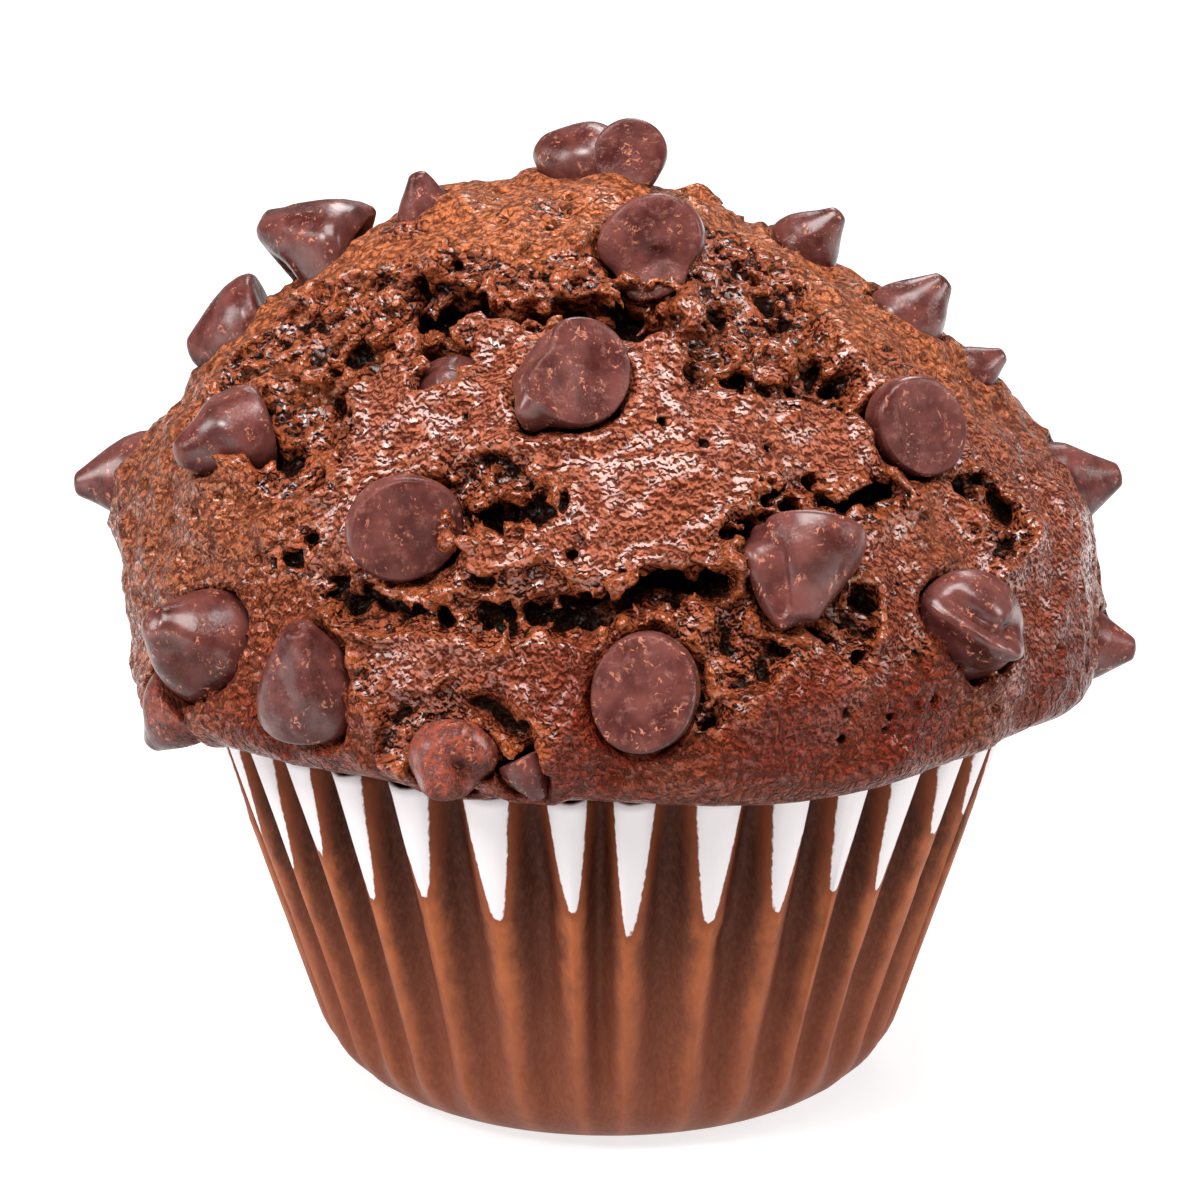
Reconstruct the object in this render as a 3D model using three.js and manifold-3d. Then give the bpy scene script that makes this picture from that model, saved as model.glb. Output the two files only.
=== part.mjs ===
// A double chocolate chip muffin in a fluted paper case: one baked cake, its pleated case and the
// chocolate chips in its crust. Millimetres, +Z up, the front towards -Y, the origin in the middle of
// the underside. Azimuths are degrees from the front towards +X.
import * as THREE from "three";
import { mergeVertices } from "three/addons/utils/BufferGeometryUtils.js";
import Module from "manifold-3d";

const wasm = await Module();
wasm.setup();

// ---- Driving sizes -------------------------------------------------------------------------------

// Paper case: a standard muffin cup, 70 mm across the rim and 35 mm deep.
const CASE_HEIGHT = 35;
const RIM_RADIUS = 35;
const FOOT_RADIUS = 23.25; // where the slanted wall would meet the floor without its round corner
const FOOT_ROUND = 9.5;
const PAPER = 0.45;
const FLUTES = 34;
const FIRST_FLUTE = 4; // azimuth of one ridge
const FLUTE_DEPTH = 2.4; // at the rim, from ridge to valley
const FLUTE_DEEPEN = [-33, 35]; // heights between which they grow to that depth
const FLUTE_FADE = [0, 9]; // heights over which they fade out towards the flat base
const FLUTE_WANDER = 1.2; // degrees that a ridge strays from an even spacing
const FLUTE_SEED = 21;
const RIDGE_SHAPE = [1, 0.64, 0, 0.64]; // ridge, flank, valley, flank
const DOUGH_SHAPE = [1, 0]; // the dough inside runs straight from ridge to valley
const WALL_STEPS = 2;

// Cake: a plug that fills the case and a domed top that has risen over its rim.
const GAP = 0.3; // between touching pieces
const PLUG_TOP = 40;
const FILL_LEVEL = 19; // above this height the dough leaves the ridges of the case empty
const FILL_AT_RIM = 0.3; // share of a ridge's depth that the dough fills at the rim
const DOME_LEVEL = 40.5; // height of the widest ring
const DOME_RADIUS = 42.5;
const DOME_RISE = 37.7;
const DOME_DROP = 5.5; // from the widest ring down to the underside of the overhang
const RISE_POWER = 1.75; // how full the upper curve is: 2 is an ellipse
const DROP_POWER = 4.2; // the underside is nearly flat, with a tight turn
const DOME_LEAN = -3.6; // the crown has risen to the left of the axis
const LEAN_POWER = 1.5;
const DOME_DETAIL = 8;
const CROWN_SHARE = 127; // of the 180 degrees from pole to pole, those that cover the upper side
const SMOOTH_BELOW = [-60, 0]; // latitudes between which the crust turns from smooth to uneven
const CRUMB_SIZE = 7; // breadth of the small unevenness of the crust
const CRUMB_HEIGHT = 0.55;
const CRUMB_LAYERS = 3;
const CRUMB_FINER = 1.7; // how much finer each layer is than the one before
const CRUMB_TWIST = [1.3, 1.1]; // how far the layers' waves bend each other

// Chocolate chip: a drop with a flat round foot.
const CHIP_RADIUS = 4.5;
const CHIP_HEIGHT = 7.5;
const CHIP_MIDDLE = 3; // height in the chip of the point that is placed on the crust
const CHIP_SIDES = 9;
// Its outline from the edge of the foot to the tip, as shares of the radius and of the height.
const CHIP_OUTLINE = [[0.86, 0], [1, 0.2], [0.74, 0.55], [0.27, 0.9]];

// ---- Helpers -------------------------------------------------------------------------------------

const radians = THREE.MathUtils.degToRad;
const lerp = THREE.MathUtils.lerp;
const smoothstep = THREE.MathUtils.smoothstep;

// Repeatable random numbers from 0 to 1.
function seeded(seed) {
  let state = seed;
  return () => {
    state = (state * 16807) % 2147483647;
    return state / 2147483647;
  };
}

// Direction that points to an azimuth and an elevation, both in degrees.
function direction(azimuth, elevation) {
  const a = radians(azimuth);
  const e = radians(elevation);
  return new THREE.Vector3(Math.sin(a) * Math.cos(e), -Math.cos(a) * Math.cos(e), Math.sin(e));
}

// Moves every vertex of a geometry to the point that place(x, y, z, index) returns.
function reshape(geometry, place) {
  const position = geometry.getAttribute("position");
  for (let i = 0; i < position.count; i += 1) {
    const point = place(position.getX(i), position.getY(i), position.getZ(i), i);
    position.setXYZ(i, point.x, point.y, point.z);
  }
  return geometry;
}

// Closed geometry to solid: vertices are merged and the slivers at a lathe's poles dropped.
function toSolid(geometry) {
  geometry.deleteAttribute("normal");
  geometry.deleteAttribute("uv");
  const merged = mergeVertices(geometry);
  const index = merged.getIndex().array;
  const triangles = [];
  for (let i = 0; i < index.length; i += 3) {
    const [a, b, c] = [index[i], index[i + 1], index[i + 2]];
    if (a !== b && b !== c && c !== a) {
      triangles.push(a, b, c);
    }
  }
  return new wasm.Manifold(new wasm.Mesh({
    numProp: 3,
    vertProperties: new Float32Array(merged.getAttribute("position").array),
    triVerts: new Uint32Array(triangles),
  }));
}

function toGeometry(solid) {
  const mesh = solid.getMesh();
  const geometry = new THREE.BufferGeometry();
  geometry.setAttribute("position", new THREE.BufferAttribute(new Float32Array(mesh.vertProperties), 3));
  geometry.setIndex(new THREE.BufferAttribute(new Uint32Array(mesh.triVerts), 1));
  geometry.computeVertexNormals();
  return geometry;
}

const muffin = new THREE.Group();

function addMesh(name, geometry, material) {
  const mesh = new THREE.Mesh(geometry, material);
  mesh.name = name;
  muffin.add(mesh);
  return mesh;
}

// ---- Paper case ----------------------------------------------------------------------------------

// The wall's ridges as points from the flat base round the corner and up to the rim. turn is the
// angle of the outward side, 0 under the base and nearly 90 degrees on the wall.
function caseProfile() {
  const wallTurn = Math.PI / 2 - Math.atan2(RIM_RADIUS - FOOT_RADIUS, CASE_HEIGHT);
  const tangent = FOOT_ROUND * Math.tan(wallTurn / 2);
  const profile = [];
  for (const share of [0, 0.5, 1]) {
    const turn = wallTurn * share;
    const radius = FOOT_RADIUS - tangent + FOOT_ROUND * Math.sin(turn);
    profile.push({ radius, height: FOOT_ROUND * (1 - Math.cos(turn)), turn });
  }
  const corner = profile.at(-1);
  for (let step = 1; step <= WALL_STEPS; step += 1) {
    const share = step / WALL_STEPS;
    profile.push({
      radius: lerp(corner.radius, RIM_RADIUS, share),
      height: lerp(corner.height, CASE_HEIGHT, share),
      turn: wallTurn,
    });
  }
  return profile;
}

const PROFILE = caseProfile();

function pleatDepth(height) {
  return FLUTE_DEPTH * smoothstep(height, ...FLUTE_DEEPEN) * smoothstep(height, ...FLUTE_FADE);
}

// The profile moved inwards by a thickness, with only part of each ridge filled.
function insideProfile(thickness, fill) {
  return PROFILE.map((point) => {
    const pleat = pleatDepth(point.height);
    const empty = pleat * (1 - fill(point.height));
    return {
      radius: point.radius - thickness * Math.sin(point.turn) - empty,
      height: point.height + thickness * Math.cos(point.turn),
      pleat: pleat - empty,
    };
  });
}

// Uneven ridge azimuths, the same for the paper and for the dough inside it.
const strayFlute = seeded(FLUTE_SEED);
const ridgeStray = Array.from({ length: FLUTES }, () => (strayFlute() - 0.5) * 2 * FLUTE_WANDER);

function ridgeAzimuth(flute) {
  return FIRST_FLUTE + (flute * 360) / FLUTES + ridgeStray[flute % FLUTES];
}

// A closed profile turned round the axis, its radius falling from each ridge into the next valley.
// shape holds the share of the ridge's height at each step from one ridge to the next.
function flutedSolid(profile, shape) {
  const sides = shape.length;
  const outline = profile.map((point) => new THREE.Vector2(point.radius, point.height));
  const geometry = new THREE.LatheGeometry(outline, FLUTES * sides);
  reshape(geometry, (x, y, z, index) => {
    const column = Math.floor(index / profile.length) % (FLUTES * sides);
    const point = profile[index % profile.length];
    const flute = Math.floor(column / sides);
    const step = column % sides;
    const azimuth = lerp(ridgeAzimuth(flute), ridgeAzimuth(flute + 1), step / sides);
    const pleat = (point.pleat ?? 0) * (1 - shape[step]);
    return direction(azimuth, 0).multiplyScalar(point.radius - pleat).setZ(point.height);
  });
  return toSolid(geometry);
}

const full = () => 1;
const paperOutside = insideProfile(0, full);
const paperInside = insideProfile(PAPER, full);
paperInside[paperInside.length - 1].height = CASE_HEIGHT;

addMesh("paper_case", toGeometry(flutedSolid([
  { radius: 0, height: 0 },
  ...paperOutside,
  ...paperInside.toReversed(),
  { radius: 0, height: PAPER },
], RIDGE_SHAPE)), new THREE.MeshStandardMaterial({ color: 0x8a5236, roughness: 0.75, metalness: 0 }));

// ---- Cake ----------------------------------------------------------------------------------------

// Swellings and hollows of the crust: azimuth, latitude, height outwards and breadth in mm.
const SWELLINGS = [
  [2, 40, 1.6, 13], // the broad plateau between the two tears
  [-80, 27, 1.7, 9], // left shoulder
  [-88, 14, 0.8, 6],
  [-82, -4, -2.2, 8],
  [82, -2, -1, 8],
  [-96, 49, -1.2, 8],
  [-10, 70, 1.2, 9], // smooth cap of the crown
  [104, 60, -1.6, 8],
  [40, 76, 1.2, 6],
  [22, 6, 1.3, 11], // lower roll
  [-36, 14, -0.8, 9],
  [78, 12, 0.8, 10], // right shoulder
  [120, 20, 1.4, 12],
  [150, 46, 1.5, 11],
  [176, 12, -1.2, 10],
  [196, 62, 1.3, 9],
  [214, 30, 1.5, 12],
  [238, 10, 1.1, 10],
];

// Small unevenness: soft bumps on a jumbled lattice, each from one fixed random number.
function crumbNoise(point) {
  let sum = 0;
  for (let layer = 0; layer < CRUMB_LAYERS; layer += 1) {
    const { x, y, z } = point.clone().multiplyScalar((Math.PI * CRUMB_FINER ** layer) / CRUMB_SIZE);
    const wave = Math.sin(x + CRUMB_TWIST[0] * Math.sin(y + layer));
    sum += (wave * Math.cos(z + CRUMB_TWIST[1] * Math.sin(x - layer))) / (layer + 1);
  }
  return sum * CRUMB_HEIGHT;
}

// Point of the smooth dome at an azimuth and a latitude: 0 is the widest ring, 90 the crown and
// -90 the middle of the flat underside.
function smoothDome(azimuth, latitude) {
  const power = latitude > 0 ? RISE_POWER : DROP_POWER;
  const rise = latitude > 0 ? DOME_RISE : DOME_DROP;
  const across = Math.cos(radians(latitude)) ** (2 / power);
  const upward = Math.abs(Math.sin(radians(latitude))) ** (2 / power);
  const point = direction(azimuth, 0).multiplyScalar(DOME_RADIUS * across);
  if (latitude > 0) {
    point.x += DOME_LEAN * upward ** LEAN_POWER;
  }
  const normal = direction(azimuth, 0).multiplyScalar(across ** (power - 1) / DOME_RADIUS);
  normal.z = (Math.sign(latitude) * upward ** (power - 1)) / rise;
  point.z = DOME_LEVEL + Math.sign(latitude) * rise * upward;
  return { point, normal: normal.normalize() };
}

// Point of the crust, lifted off it by a height, and the direction straight out of it.
function crust(azimuth, latitude, lift) {
  const { point, normal } = smoothDome(azimuth, latitude);
  let swelling = crumbNoise(point);
  for (const [swellAzimuth, swellLatitude, height, breadth] of SWELLINGS) {
    const away = point.distanceTo(smoothDome(swellAzimuth, swellLatitude).point) / breadth;
    swelling += height * Math.exp(-away * away);
  }
  const share = smoothstep(latitude, ...SMOOTH_BELOW);
  return { point: point.clone().addScaledVector(normal, swelling * share + lift), normal };
}

function domeSolid() {
  const geometry = new THREE.IcosahedronGeometry(1, DOME_DETAIL);
  reshape(geometry, (x, y, z) => {
    const fromPole = THREE.MathUtils.radToDeg(Math.acos(THREE.MathUtils.clamp(z, -1, 1)));
    const upper = 90 * (1 - fromPole / CROWN_SHARE);
    const lower = (-90 * (fromPole - CROWN_SHARE)) / (180 - CROWN_SHARE);
    const azimuth = THREE.MathUtils.radToDeg(Math.atan2(x, -y));
    return crust(azimuth, fromPole < CROWN_SHARE ? upper : lower, 0).point;
  });
  return toSolid(geometry);
}

// Tears where the crust burst as it rose: a line of azimuths and latitudes, then the width between
// the lips, the depth, and how far the bottom reaches in under the upper lip.
const FRONT_TEARS = [
  { line: [[-62, 46], [-44, 48], [-32, 54], [-16, 56], [-4, 56], [8, 56], [20, 50], [31, 46], [44, 41]],
    width: 6.5, depth: 6, undercut: 2 },
  { line: [[40, 68], [33, 60], [26, 51]], width: 4.5, depth: 4, undercut: 0 },
  { line: [[64, 60], [52, 53], [47, 47], [47, 41]], width: 4.5, depth: 5, undercut: 1 },
  { line: [[-42, 49], [-45, 43], [-41, 38], [-39, 32]], width: 3.4, depth: 5, undercut: 0 },
  { line: [[-48, 25], [-35, 23], [-25, 21], [-14, 20], [-6, 18], [1, 18]],
    width: 3, depth: 3, undercut: 0.8 },
  { line: [[-3, 16], [4, 25], [10, 27], [14, 25], [20, 29]], width: 4.2, depth: 4.5, undercut: 1.2 },
  { line: [[20, 33], [28, 33], [35, 31], [42, 33], [51, 33]], width: 3.4, depth: 4, undercut: 1 },
  { line: [[56, 32], [62, 27], [57, 20]], width: 3, depth: 3, undercut: 0 },
  { line: [[-19, 29], [-10, 31]], width: 4, depth: 3.5, undercut: 0.8 },
  { line: [[-28, 54], [-24, 49], [-21, 45]], width: 6, depth: 4, undercut: 0 },
  { line: [[9, 2], [14, 9], [24, 13], [35, 9]], width: 2.6, depth: 1.8, undercut: 0 },
];
// The hidden side burst in the same way: the same tears seen in a mirror, a little lower.
const MIRROR_AZIMUTH = 187;
const MIRROR_LOWER = 0.94;
const BACK_TEARS = FRONT_TEARS.map((tear) => ({
  ...tear,
  line: tear.line.map(([azimuth, latitude]) => [MIRROR_AZIMUTH - azimuth, latitude * MIRROR_LOWER]),
}));

const TEAR_ABOVE = 2.5; // how far the cutting wedge stands out of the crust
const TEAR_FLOOR = 0.3; // width of a tear's bottom as a share of the width between its lips
const TEAR_ENDS = 0.35; // width and depth at a tear's ends as a share of those at its middle
const TEAR_FULLNESS = 0.6; // below 1 it widens quickly from its ends
const TEAR_EVEN = [0.78, 1.22]; // how unevenly wide and deep a tear runs
const TEAR_SEED = 5;
const LINE_STEP = 0.01; // share of the line over which its direction is taken
// The wedge's four corners: above (1) or below (-1) the crust, and on which side of the line.
const WEDGE_CORNERS = [[1, 1], [-1, 1], [-1, -1], [1, -1]];

// A wedge along the line of a tear, narrower at both ends and uneven in width and depth.
function tearSolid({ line, width, depth, undercut }, seed) {
  const random = seeded(seed);
  const route = new THREE.CatmullRomCurve3(line.map(([a, l]) => new THREE.Vector3(a, l, 0)));
  const onCrust = (share) => {
    const { x, y } = route.getPoint(THREE.MathUtils.clamp(share, 0, 1));
    return crust(x, y, 0);
  };
  const steps = line.length;
  const sections = Array.from({ length: steps + 1 }, (unused, step) => {
    const share = step / steps;
    const { point, normal } = onCrust(share);
    const along = onCrust(share + LINE_STEP).point.sub(onCrust(share - LINE_STEP).point).normalize();
    const taper = lerp(TEAR_ENDS, 1, Math.sin(Math.PI * share) ** TEAR_FULLNESS);
    const half = (width / 2) * taper * lerp(...TEAR_EVEN, random());
    const bottom = depth * taper * lerp(...TEAR_EVEN, random());
    const spread = half * (1 + (TEAR_ABOVE / bottom) * (1 - TEAR_FLOOR));
    return { point, normal, side: along.cross(normal).normalize(), half, bottom, spread, taper };
  });
  const uphill = Math.sign(sections.reduce((sum, section) => sum + section.side.z, 0));
  const geometry = new THREE.CylinderGeometry(1, 1, steps, WEDGE_CORNERS.length, steps);
  reshape(geometry, (x, y, z) => {
    const { point, normal, side, half, bottom, spread, taper } = sections[Math.round(y + steps / 2)];
    if (Math.hypot(x, z) < 0.5) {
      return point;
    }
    const turn = Math.round(Math.atan2(x, z) / (Math.PI / 2)) + WEDGE_CORNERS.length;
    const [above, hand] = WEDGE_CORNERS[turn % WEDGE_CORNERS.length];
    const lift = above > 0 ? TEAR_ABOVE : -bottom;
    const shift = above > 0 ? hand * spread : hand * half * TEAR_FLOOR + uphill * undercut * taper;
    return point.clone().addScaledVector(normal, lift).addScaledVector(side, shift);
  });
  return toSolid(geometry);
}

// ---- Chocolate chips -----------------------------------------------------------------------------

// Every chip that the front shows: azimuth and latitude on the dome, how far its middle stands out of
// the crust, the azimuth and elevation that its tip points to, its size, and what has deformed it.
const FRONT_CHIPS = [
  { at: [-26, 30], out: -0.6, tip: [-168, -4], size: 1.08, squash: 0.87 },
  { at: [-3, 47], out: 0, tip: [-152, -20], size: 1.06, spin: 180, bend: 2 },
  { at: [27, 67], out: 0.4, tip: [172, -14], size: 1.08, squash: 0.86, spin: 130 },
  { at: [5, 11], out: -0.6, tip: [165, -10], size: 1.12, squash: 0.86, spin: 90 },
  { at: [52, 38], out: -0.2, tip: [-150, -10], size: 1.03, squash: 0.85, spin: 80 },
  { at: [24, 24], out: 0.6, tip: [-8, -50], size: 1.07, squash: 0.85 },
  { at: [45, 13], out: 0.6, tip: [28, -5], size: 1.14, tall: 0.75 },
  { at: [-35, 9], out: 0.8, tip: [-15, 65], size: 1.06, tall: 1.15 },
  { at: [-53, 10], out: 0.8, tip: [-48, 28], size: 1.15 },
  { at: [-59, -12], out: -0.6, tip: [-120, -50], size: 0.82 },
  { at: [-17, -1], out: 1.6, tip: [-15, -20], size: 0.97, squash: 0.86, broken: 0.66 },
  { at: [-9, -6], out: -1.4, tip: [60, -60], size: 0.5 },
  { at: [-60, 34], out: 0.8, tip: [-66, -8], size: 1 },
  { at: [-93, 20], out: 0.4, tip: [-95, -8], size: 0.9, squash: 0.85, tall: 1.15 },
  { at: [-98, 42], out: 0.2, tip: [-92, -20], size: 1.12, tall: 0.9 },
  { at: [-100, 56], out: 2, tip: [-95, 20], size: 1.22, spin: 90, bend: 1.5 },
  { at: [-90, 71], out: 0.6, tip: [-60, 70], size: 0.66, squash: 0.85 },
  { at: [164, 79], out: 0.7, tip: [-100, 20], size: 0.78, squash: 0.85 },
  { at: [100, 81], out: 3, tip: [170, -15], size: 0.7 },
  { at: [106, 58], out: 2.4, tip: [80, 45], size: 0.72 },
  { at: [90, 47], out: 0.4, tip: [95, 45], size: 0.8 },
  { at: [94, 37], out: 0.4, tip: [95, 30], size: 0.55 },
  { at: [92, 20], out: 0.4, tip: [90, 12], size: 0.88, squash: 0.85 },
  { at: [84, -3], out: -0.2, tip: [85, -5], size: 0.8 },
  { at: [-24, 48], out: -2.4, tip: [-10, 40], size: 0.8, tall: 0.5 },
];

// The hidden side has as many for its area, spread by the golden ratio.
const BACK_CHIPS = 14;
const GOLDEN = 0.618034;
const BACK_START = 0.35;
const BACK_AZIMUTHS = [118, 242];
const BACK_LATITUDES = [3, 51]; // the highest straight behind, lower towards the sides
const BACK_SEED = 9;
const BACK_FOOT_SHARE = 0.35; // share of the chips that show their flat foot
const BACK_FOOT_OUT = -0.4;
const BACK_TIP_OUT = 1;
const BACK_TURN = 70; // spread of the directions that their tips point to
const BACK_TILT = 50;
const BACK_LEVEL = 0.6; // how far a tip points up, as a share of its latitude
const BACK_SIZES = [0.85, 1.1];
const BACK_SQUASH = [0.84, 0.98];
const BACK_BEND = 1.6;
function backChips() {
  const random = seeded(BACK_SEED);
  return Array.from({ length: BACK_CHIPS }, (unused, i) => {
    const azimuth = lerp(...BACK_AZIMUTHS, (i * GOLDEN + BACK_START) % 1);
    const top = lerp(...BACK_LATITUDES, Math.cos(radians(azimuth)) ** 2);
    const latitude = lerp(BACK_LATITUDES[0], top, (i + 0.5) / BACK_CHIPS);
    const footOut = random() < BACK_FOOT_SHARE;
    const tipTurn = azimuth + BACK_TURN * (random() - 0.5);
    const tipTilt = latitude * BACK_LEVEL + BACK_TILT * (random() - 0.5);
    return {
      at: [azimuth, latitude],
      out: footOut ? BACK_FOOT_OUT : BACK_TIP_OUT,
      tip: footOut ? [azimuth + 180, -latitude] : [tipTurn, tipTilt],
      size: lerp(...BACK_SIZES, random()),
      squash: lerp(...BACK_SQUASH, random()),
      bend: BACK_BEND * random(),
    };
  });
}

// Half outline of a chip from the middle of its foot to its tip, grown all round by a margin.
function chipOutline(grow) {
  const flank = CHIP_OUTLINE.map(([across, up]) => {
    const height = lerp(-grow, CHIP_HEIGHT + grow, up);
    return new THREE.Vector2(CHIP_RADIUS * across + grow, height);
  });
  return [new THREE.Vector2(0, -grow), ...flank, new THREE.Vector2(0, CHIP_HEIGHT + grow)];
}

// Where a chip lies: its own +Z runs to the tip and its middle is on the crust.
function chipPose({ at, out, tip }) {
  const { point } = crust(at[0], at[1], out);
  const turn = new THREE.Quaternion().setFromUnitVectors(new THREE.Vector3(0, 0, 1), direction(...tip));
  return { point, turn };
}

// The chip in its own frame: squashed on one side, its tip bent over, and set on its middle.
const CHIP_SQUASH = 0.92; // no chip is quite round
function chipGeometry({ size, squash = CHIP_SQUASH, spin = 0, bend = 0, tall = 1, broken = 1 }, grow) {
  const geometry = new THREE.LatheGeometry(chipOutline(grow / size), CHIP_SIDES);
  reshape(geometry, (x, y, z) => {
    const height = Math.min(y, CHIP_HEIGHT * broken);
    const lean = bend * Math.max(height / CHIP_HEIGHT, 0) ** 2;
    const place = new THREE.Vector3(x + lean, z * -squash, (height - CHIP_MIDDLE) * tall);
    return place.multiplyScalar(size);
  });
  return geometry.rotateZ(radians(spin));
}

const chipMaterial = new THREE.MeshStandardMaterial({ color: 0x4a2c2a, roughness: 0.45, metalness: 0 });
const chips = [...FRONT_CHIPS, ...backChips()];
const pockets = [];
for (const [i, chip] of chips.entries()) {
  const { point, turn } = chipPose(chip);
  const number = String(i + 1).padStart(2, "0");
  const mesh = addMesh(`chip_${number}`, toGeometry(toSolid(chipGeometry(chip, 0))), chipMaterial);
  mesh.position.copy(point);
  mesh.quaternion.copy(turn);
  const pocket = chipGeometry(chip, GAP);
  pocket.applyQuaternion(turn).translate(point.x, point.y, point.z);
  pockets.push(toSolid(pocket));
}

// The cake is the plug and the dome in one, with the tears and the chips' pockets cut out of it.
const dough = (height) => lerp(1, FILL_AT_RIM, smoothstep(height, FILL_LEVEL, CASE_HEIGHT));
const plugSide = insideProfile(PAPER + GAP, dough);
const plug = flutedSolid([
  { radius: 0, height: plugSide[0].height },
  ...plugSide,
  { radius: plugSide.at(-1).radius, height: PLUG_TOP, pleat: plugSide.at(-1).pleat },
  { radius: 0, height: PLUG_TOP },
], DOUGH_SHAPE);
let cake = domeSolid().add(plug);
for (const [i, tear] of [...FRONT_TEARS, ...BACK_TEARS].entries()) {
  cake = cake.subtract(tearSolid(tear, i + TEAR_SEED));
}
for (const pocket of pockets) {
  cake = cake.subtract(pocket);
}
// Only the cake itself is kept, not a crumb that the cuts set free.
const [whole] = cake.decompose().sort((a, b) => b.volume() - a.volume());
addMesh("cake", toGeometry(whole),
  new THREE.MeshStandardMaterial({ color: 0x5f3322, roughness: 0.7, metalness: 0 }));

export default muffin;
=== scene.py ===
"""A double chocolate chip muffin in its fluted paper case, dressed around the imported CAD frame."""

import math

import bpy
import numpy as np
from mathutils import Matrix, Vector


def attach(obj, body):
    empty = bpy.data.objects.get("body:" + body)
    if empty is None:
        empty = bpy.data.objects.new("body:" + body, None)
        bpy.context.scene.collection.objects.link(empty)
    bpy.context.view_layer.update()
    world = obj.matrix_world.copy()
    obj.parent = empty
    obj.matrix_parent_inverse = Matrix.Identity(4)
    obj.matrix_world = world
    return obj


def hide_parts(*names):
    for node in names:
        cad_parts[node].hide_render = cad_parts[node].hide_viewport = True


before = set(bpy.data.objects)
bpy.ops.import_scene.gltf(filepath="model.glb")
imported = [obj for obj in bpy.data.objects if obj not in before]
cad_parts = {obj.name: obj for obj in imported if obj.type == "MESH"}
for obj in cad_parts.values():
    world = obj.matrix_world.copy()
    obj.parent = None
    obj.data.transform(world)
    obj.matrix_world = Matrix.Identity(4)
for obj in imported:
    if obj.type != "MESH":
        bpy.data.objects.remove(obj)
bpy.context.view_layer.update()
scene = bpy.context.scene
MM = 0.001

# ---- Paper case ------------------------------------------------------
# A muffin cup pressed from a flat disc of thin baking paper, so its wall stands in 34 pleats. Cake fat
# has soaked it brown wherever dough lay against it, and only the free tips of the pleats stayed white.
# Sizes are in millimetres and angles in degrees.
CASE_HEIGHT = 35.0
RIM_RADIUS = 35.0
FOOT_RADIUS = 23.25
FOOT_ROUND = 9.5
PAPER = 0.3
FLUTES = 34
FIRST_FLUTE = 4.0
FLUTE_DEPTH = 2.4
FLUTE_WANDER = 1.2
COLUMNS = 14
ROWS = 34
# Rings of faces in the flat base, and their width as a share of its radius.
BASE_RINGS = 3
BASE_RING = 0.24
# Shares of the way from a ridge to the next valley where the flat crest ends and the valley's bottom
# begins, at three heights.
PROFILE_HEIGHTS = [0, 12, 35]
CREST_ENDS = [0.05, 0.12, 0.42]
VALLEY_STARTS = [1.0, 0.98, 0.86]
KINKS = 26


def deselect():
    if bpy.context.object and bpy.context.object.mode == "EDIT":
        bpy.ops.object.mode_set(mode="OBJECT")
    bpy.ops.object.select_all(action="DESELECT")


def apply_modifier(piece, kind, **settings):
    """Adds a modifier with its settings and applies it."""
    deselect()
    piece.select_set(True)
    bpy.context.view_layer.objects.active = piece
    modifier = piece.modifiers.new(kind.title(), kind)
    for name, value in settings.items():
        setattr(modifier, name, value)
    bpy.ops.object.modifier_apply(modifier=modifier.name)


def points_of(mesh):
    """The mesh's vertices in millimetres."""
    flat = np.empty(len(mesh.vertices) * 3, np.float32)
    mesh.vertices.foreach_get("co", flat)
    return flat.reshape(-1, 3) / MM


def set_points(mesh, points):
    mesh.vertices.foreach_set("co", (np.asarray(points, np.float32) * MM).ravel())
    mesh.update()


def smoothstep(low, high, value):
    share = np.clip((value - low) / (high - low), 0, 1)
    return share * share * (3 - 2 * share)


def store(mesh, name, values):
    """Keeps one number for each vertex, for the material to read."""
    attribute = mesh.attributes.new(name, "FLOAT", "POINT")
    attribute.data.foreach_set("value", np.asarray(values, np.float32))


def pleat_depth(height):
    return FLUTE_DEPTH * smoothstep(-33, 35, height) * smoothstep(0, 9, height)


def wall_line(share):
    """Radius and height of the ridges, from the edge of the flat base (0) to the rim (1)."""
    turn = math.pi / 2 - math.atan2(RIM_RADIUS - FOOT_RADIUS, CASE_HEIGHT)
    tangent = FOOT_ROUND * math.tan(turn / 2)
    arc = FOOT_ROUND * turn
    end = (FOOT_RADIUS - tangent + FOOT_ROUND * math.sin(turn), FOOT_ROUND * (1 - math.cos(turn)))
    wall = math.dist(end, (RIM_RADIUS, CASE_HEIGHT))
    way = share * (arc + wall)
    if way < arc:
        bend = way / FOOT_ROUND
        return FOOT_RADIUS - tangent + FOOT_ROUND * math.sin(bend), FOOT_ROUND * (1 - math.cos(bend))
    up = (way - arc) / wall
    return end[0] + (RIM_RADIUS - end[0]) * up, end[1] + (CASE_HEIGHT - end[1]) * up


def repeatable(seed):
    """The same fixed row of numbers from 0 to 1 as the case's solid uses."""
    while True:
        seed = seed * 16807 % 2147483647
        yield seed / 2147483647


stray = repeatable(21)
ridge_stray = [(next(stray) - 0.5) * 2 * FLUTE_WANDER for _ in range(FLUTES)]
ridge_azimuth = [FIRST_FLUTE + flute * 360 / FLUTES + ridge_stray[flute % FLUTES]
                 for flute in range(FLUTES + 1)]
base_edge = wall_line(0)[0]

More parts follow.
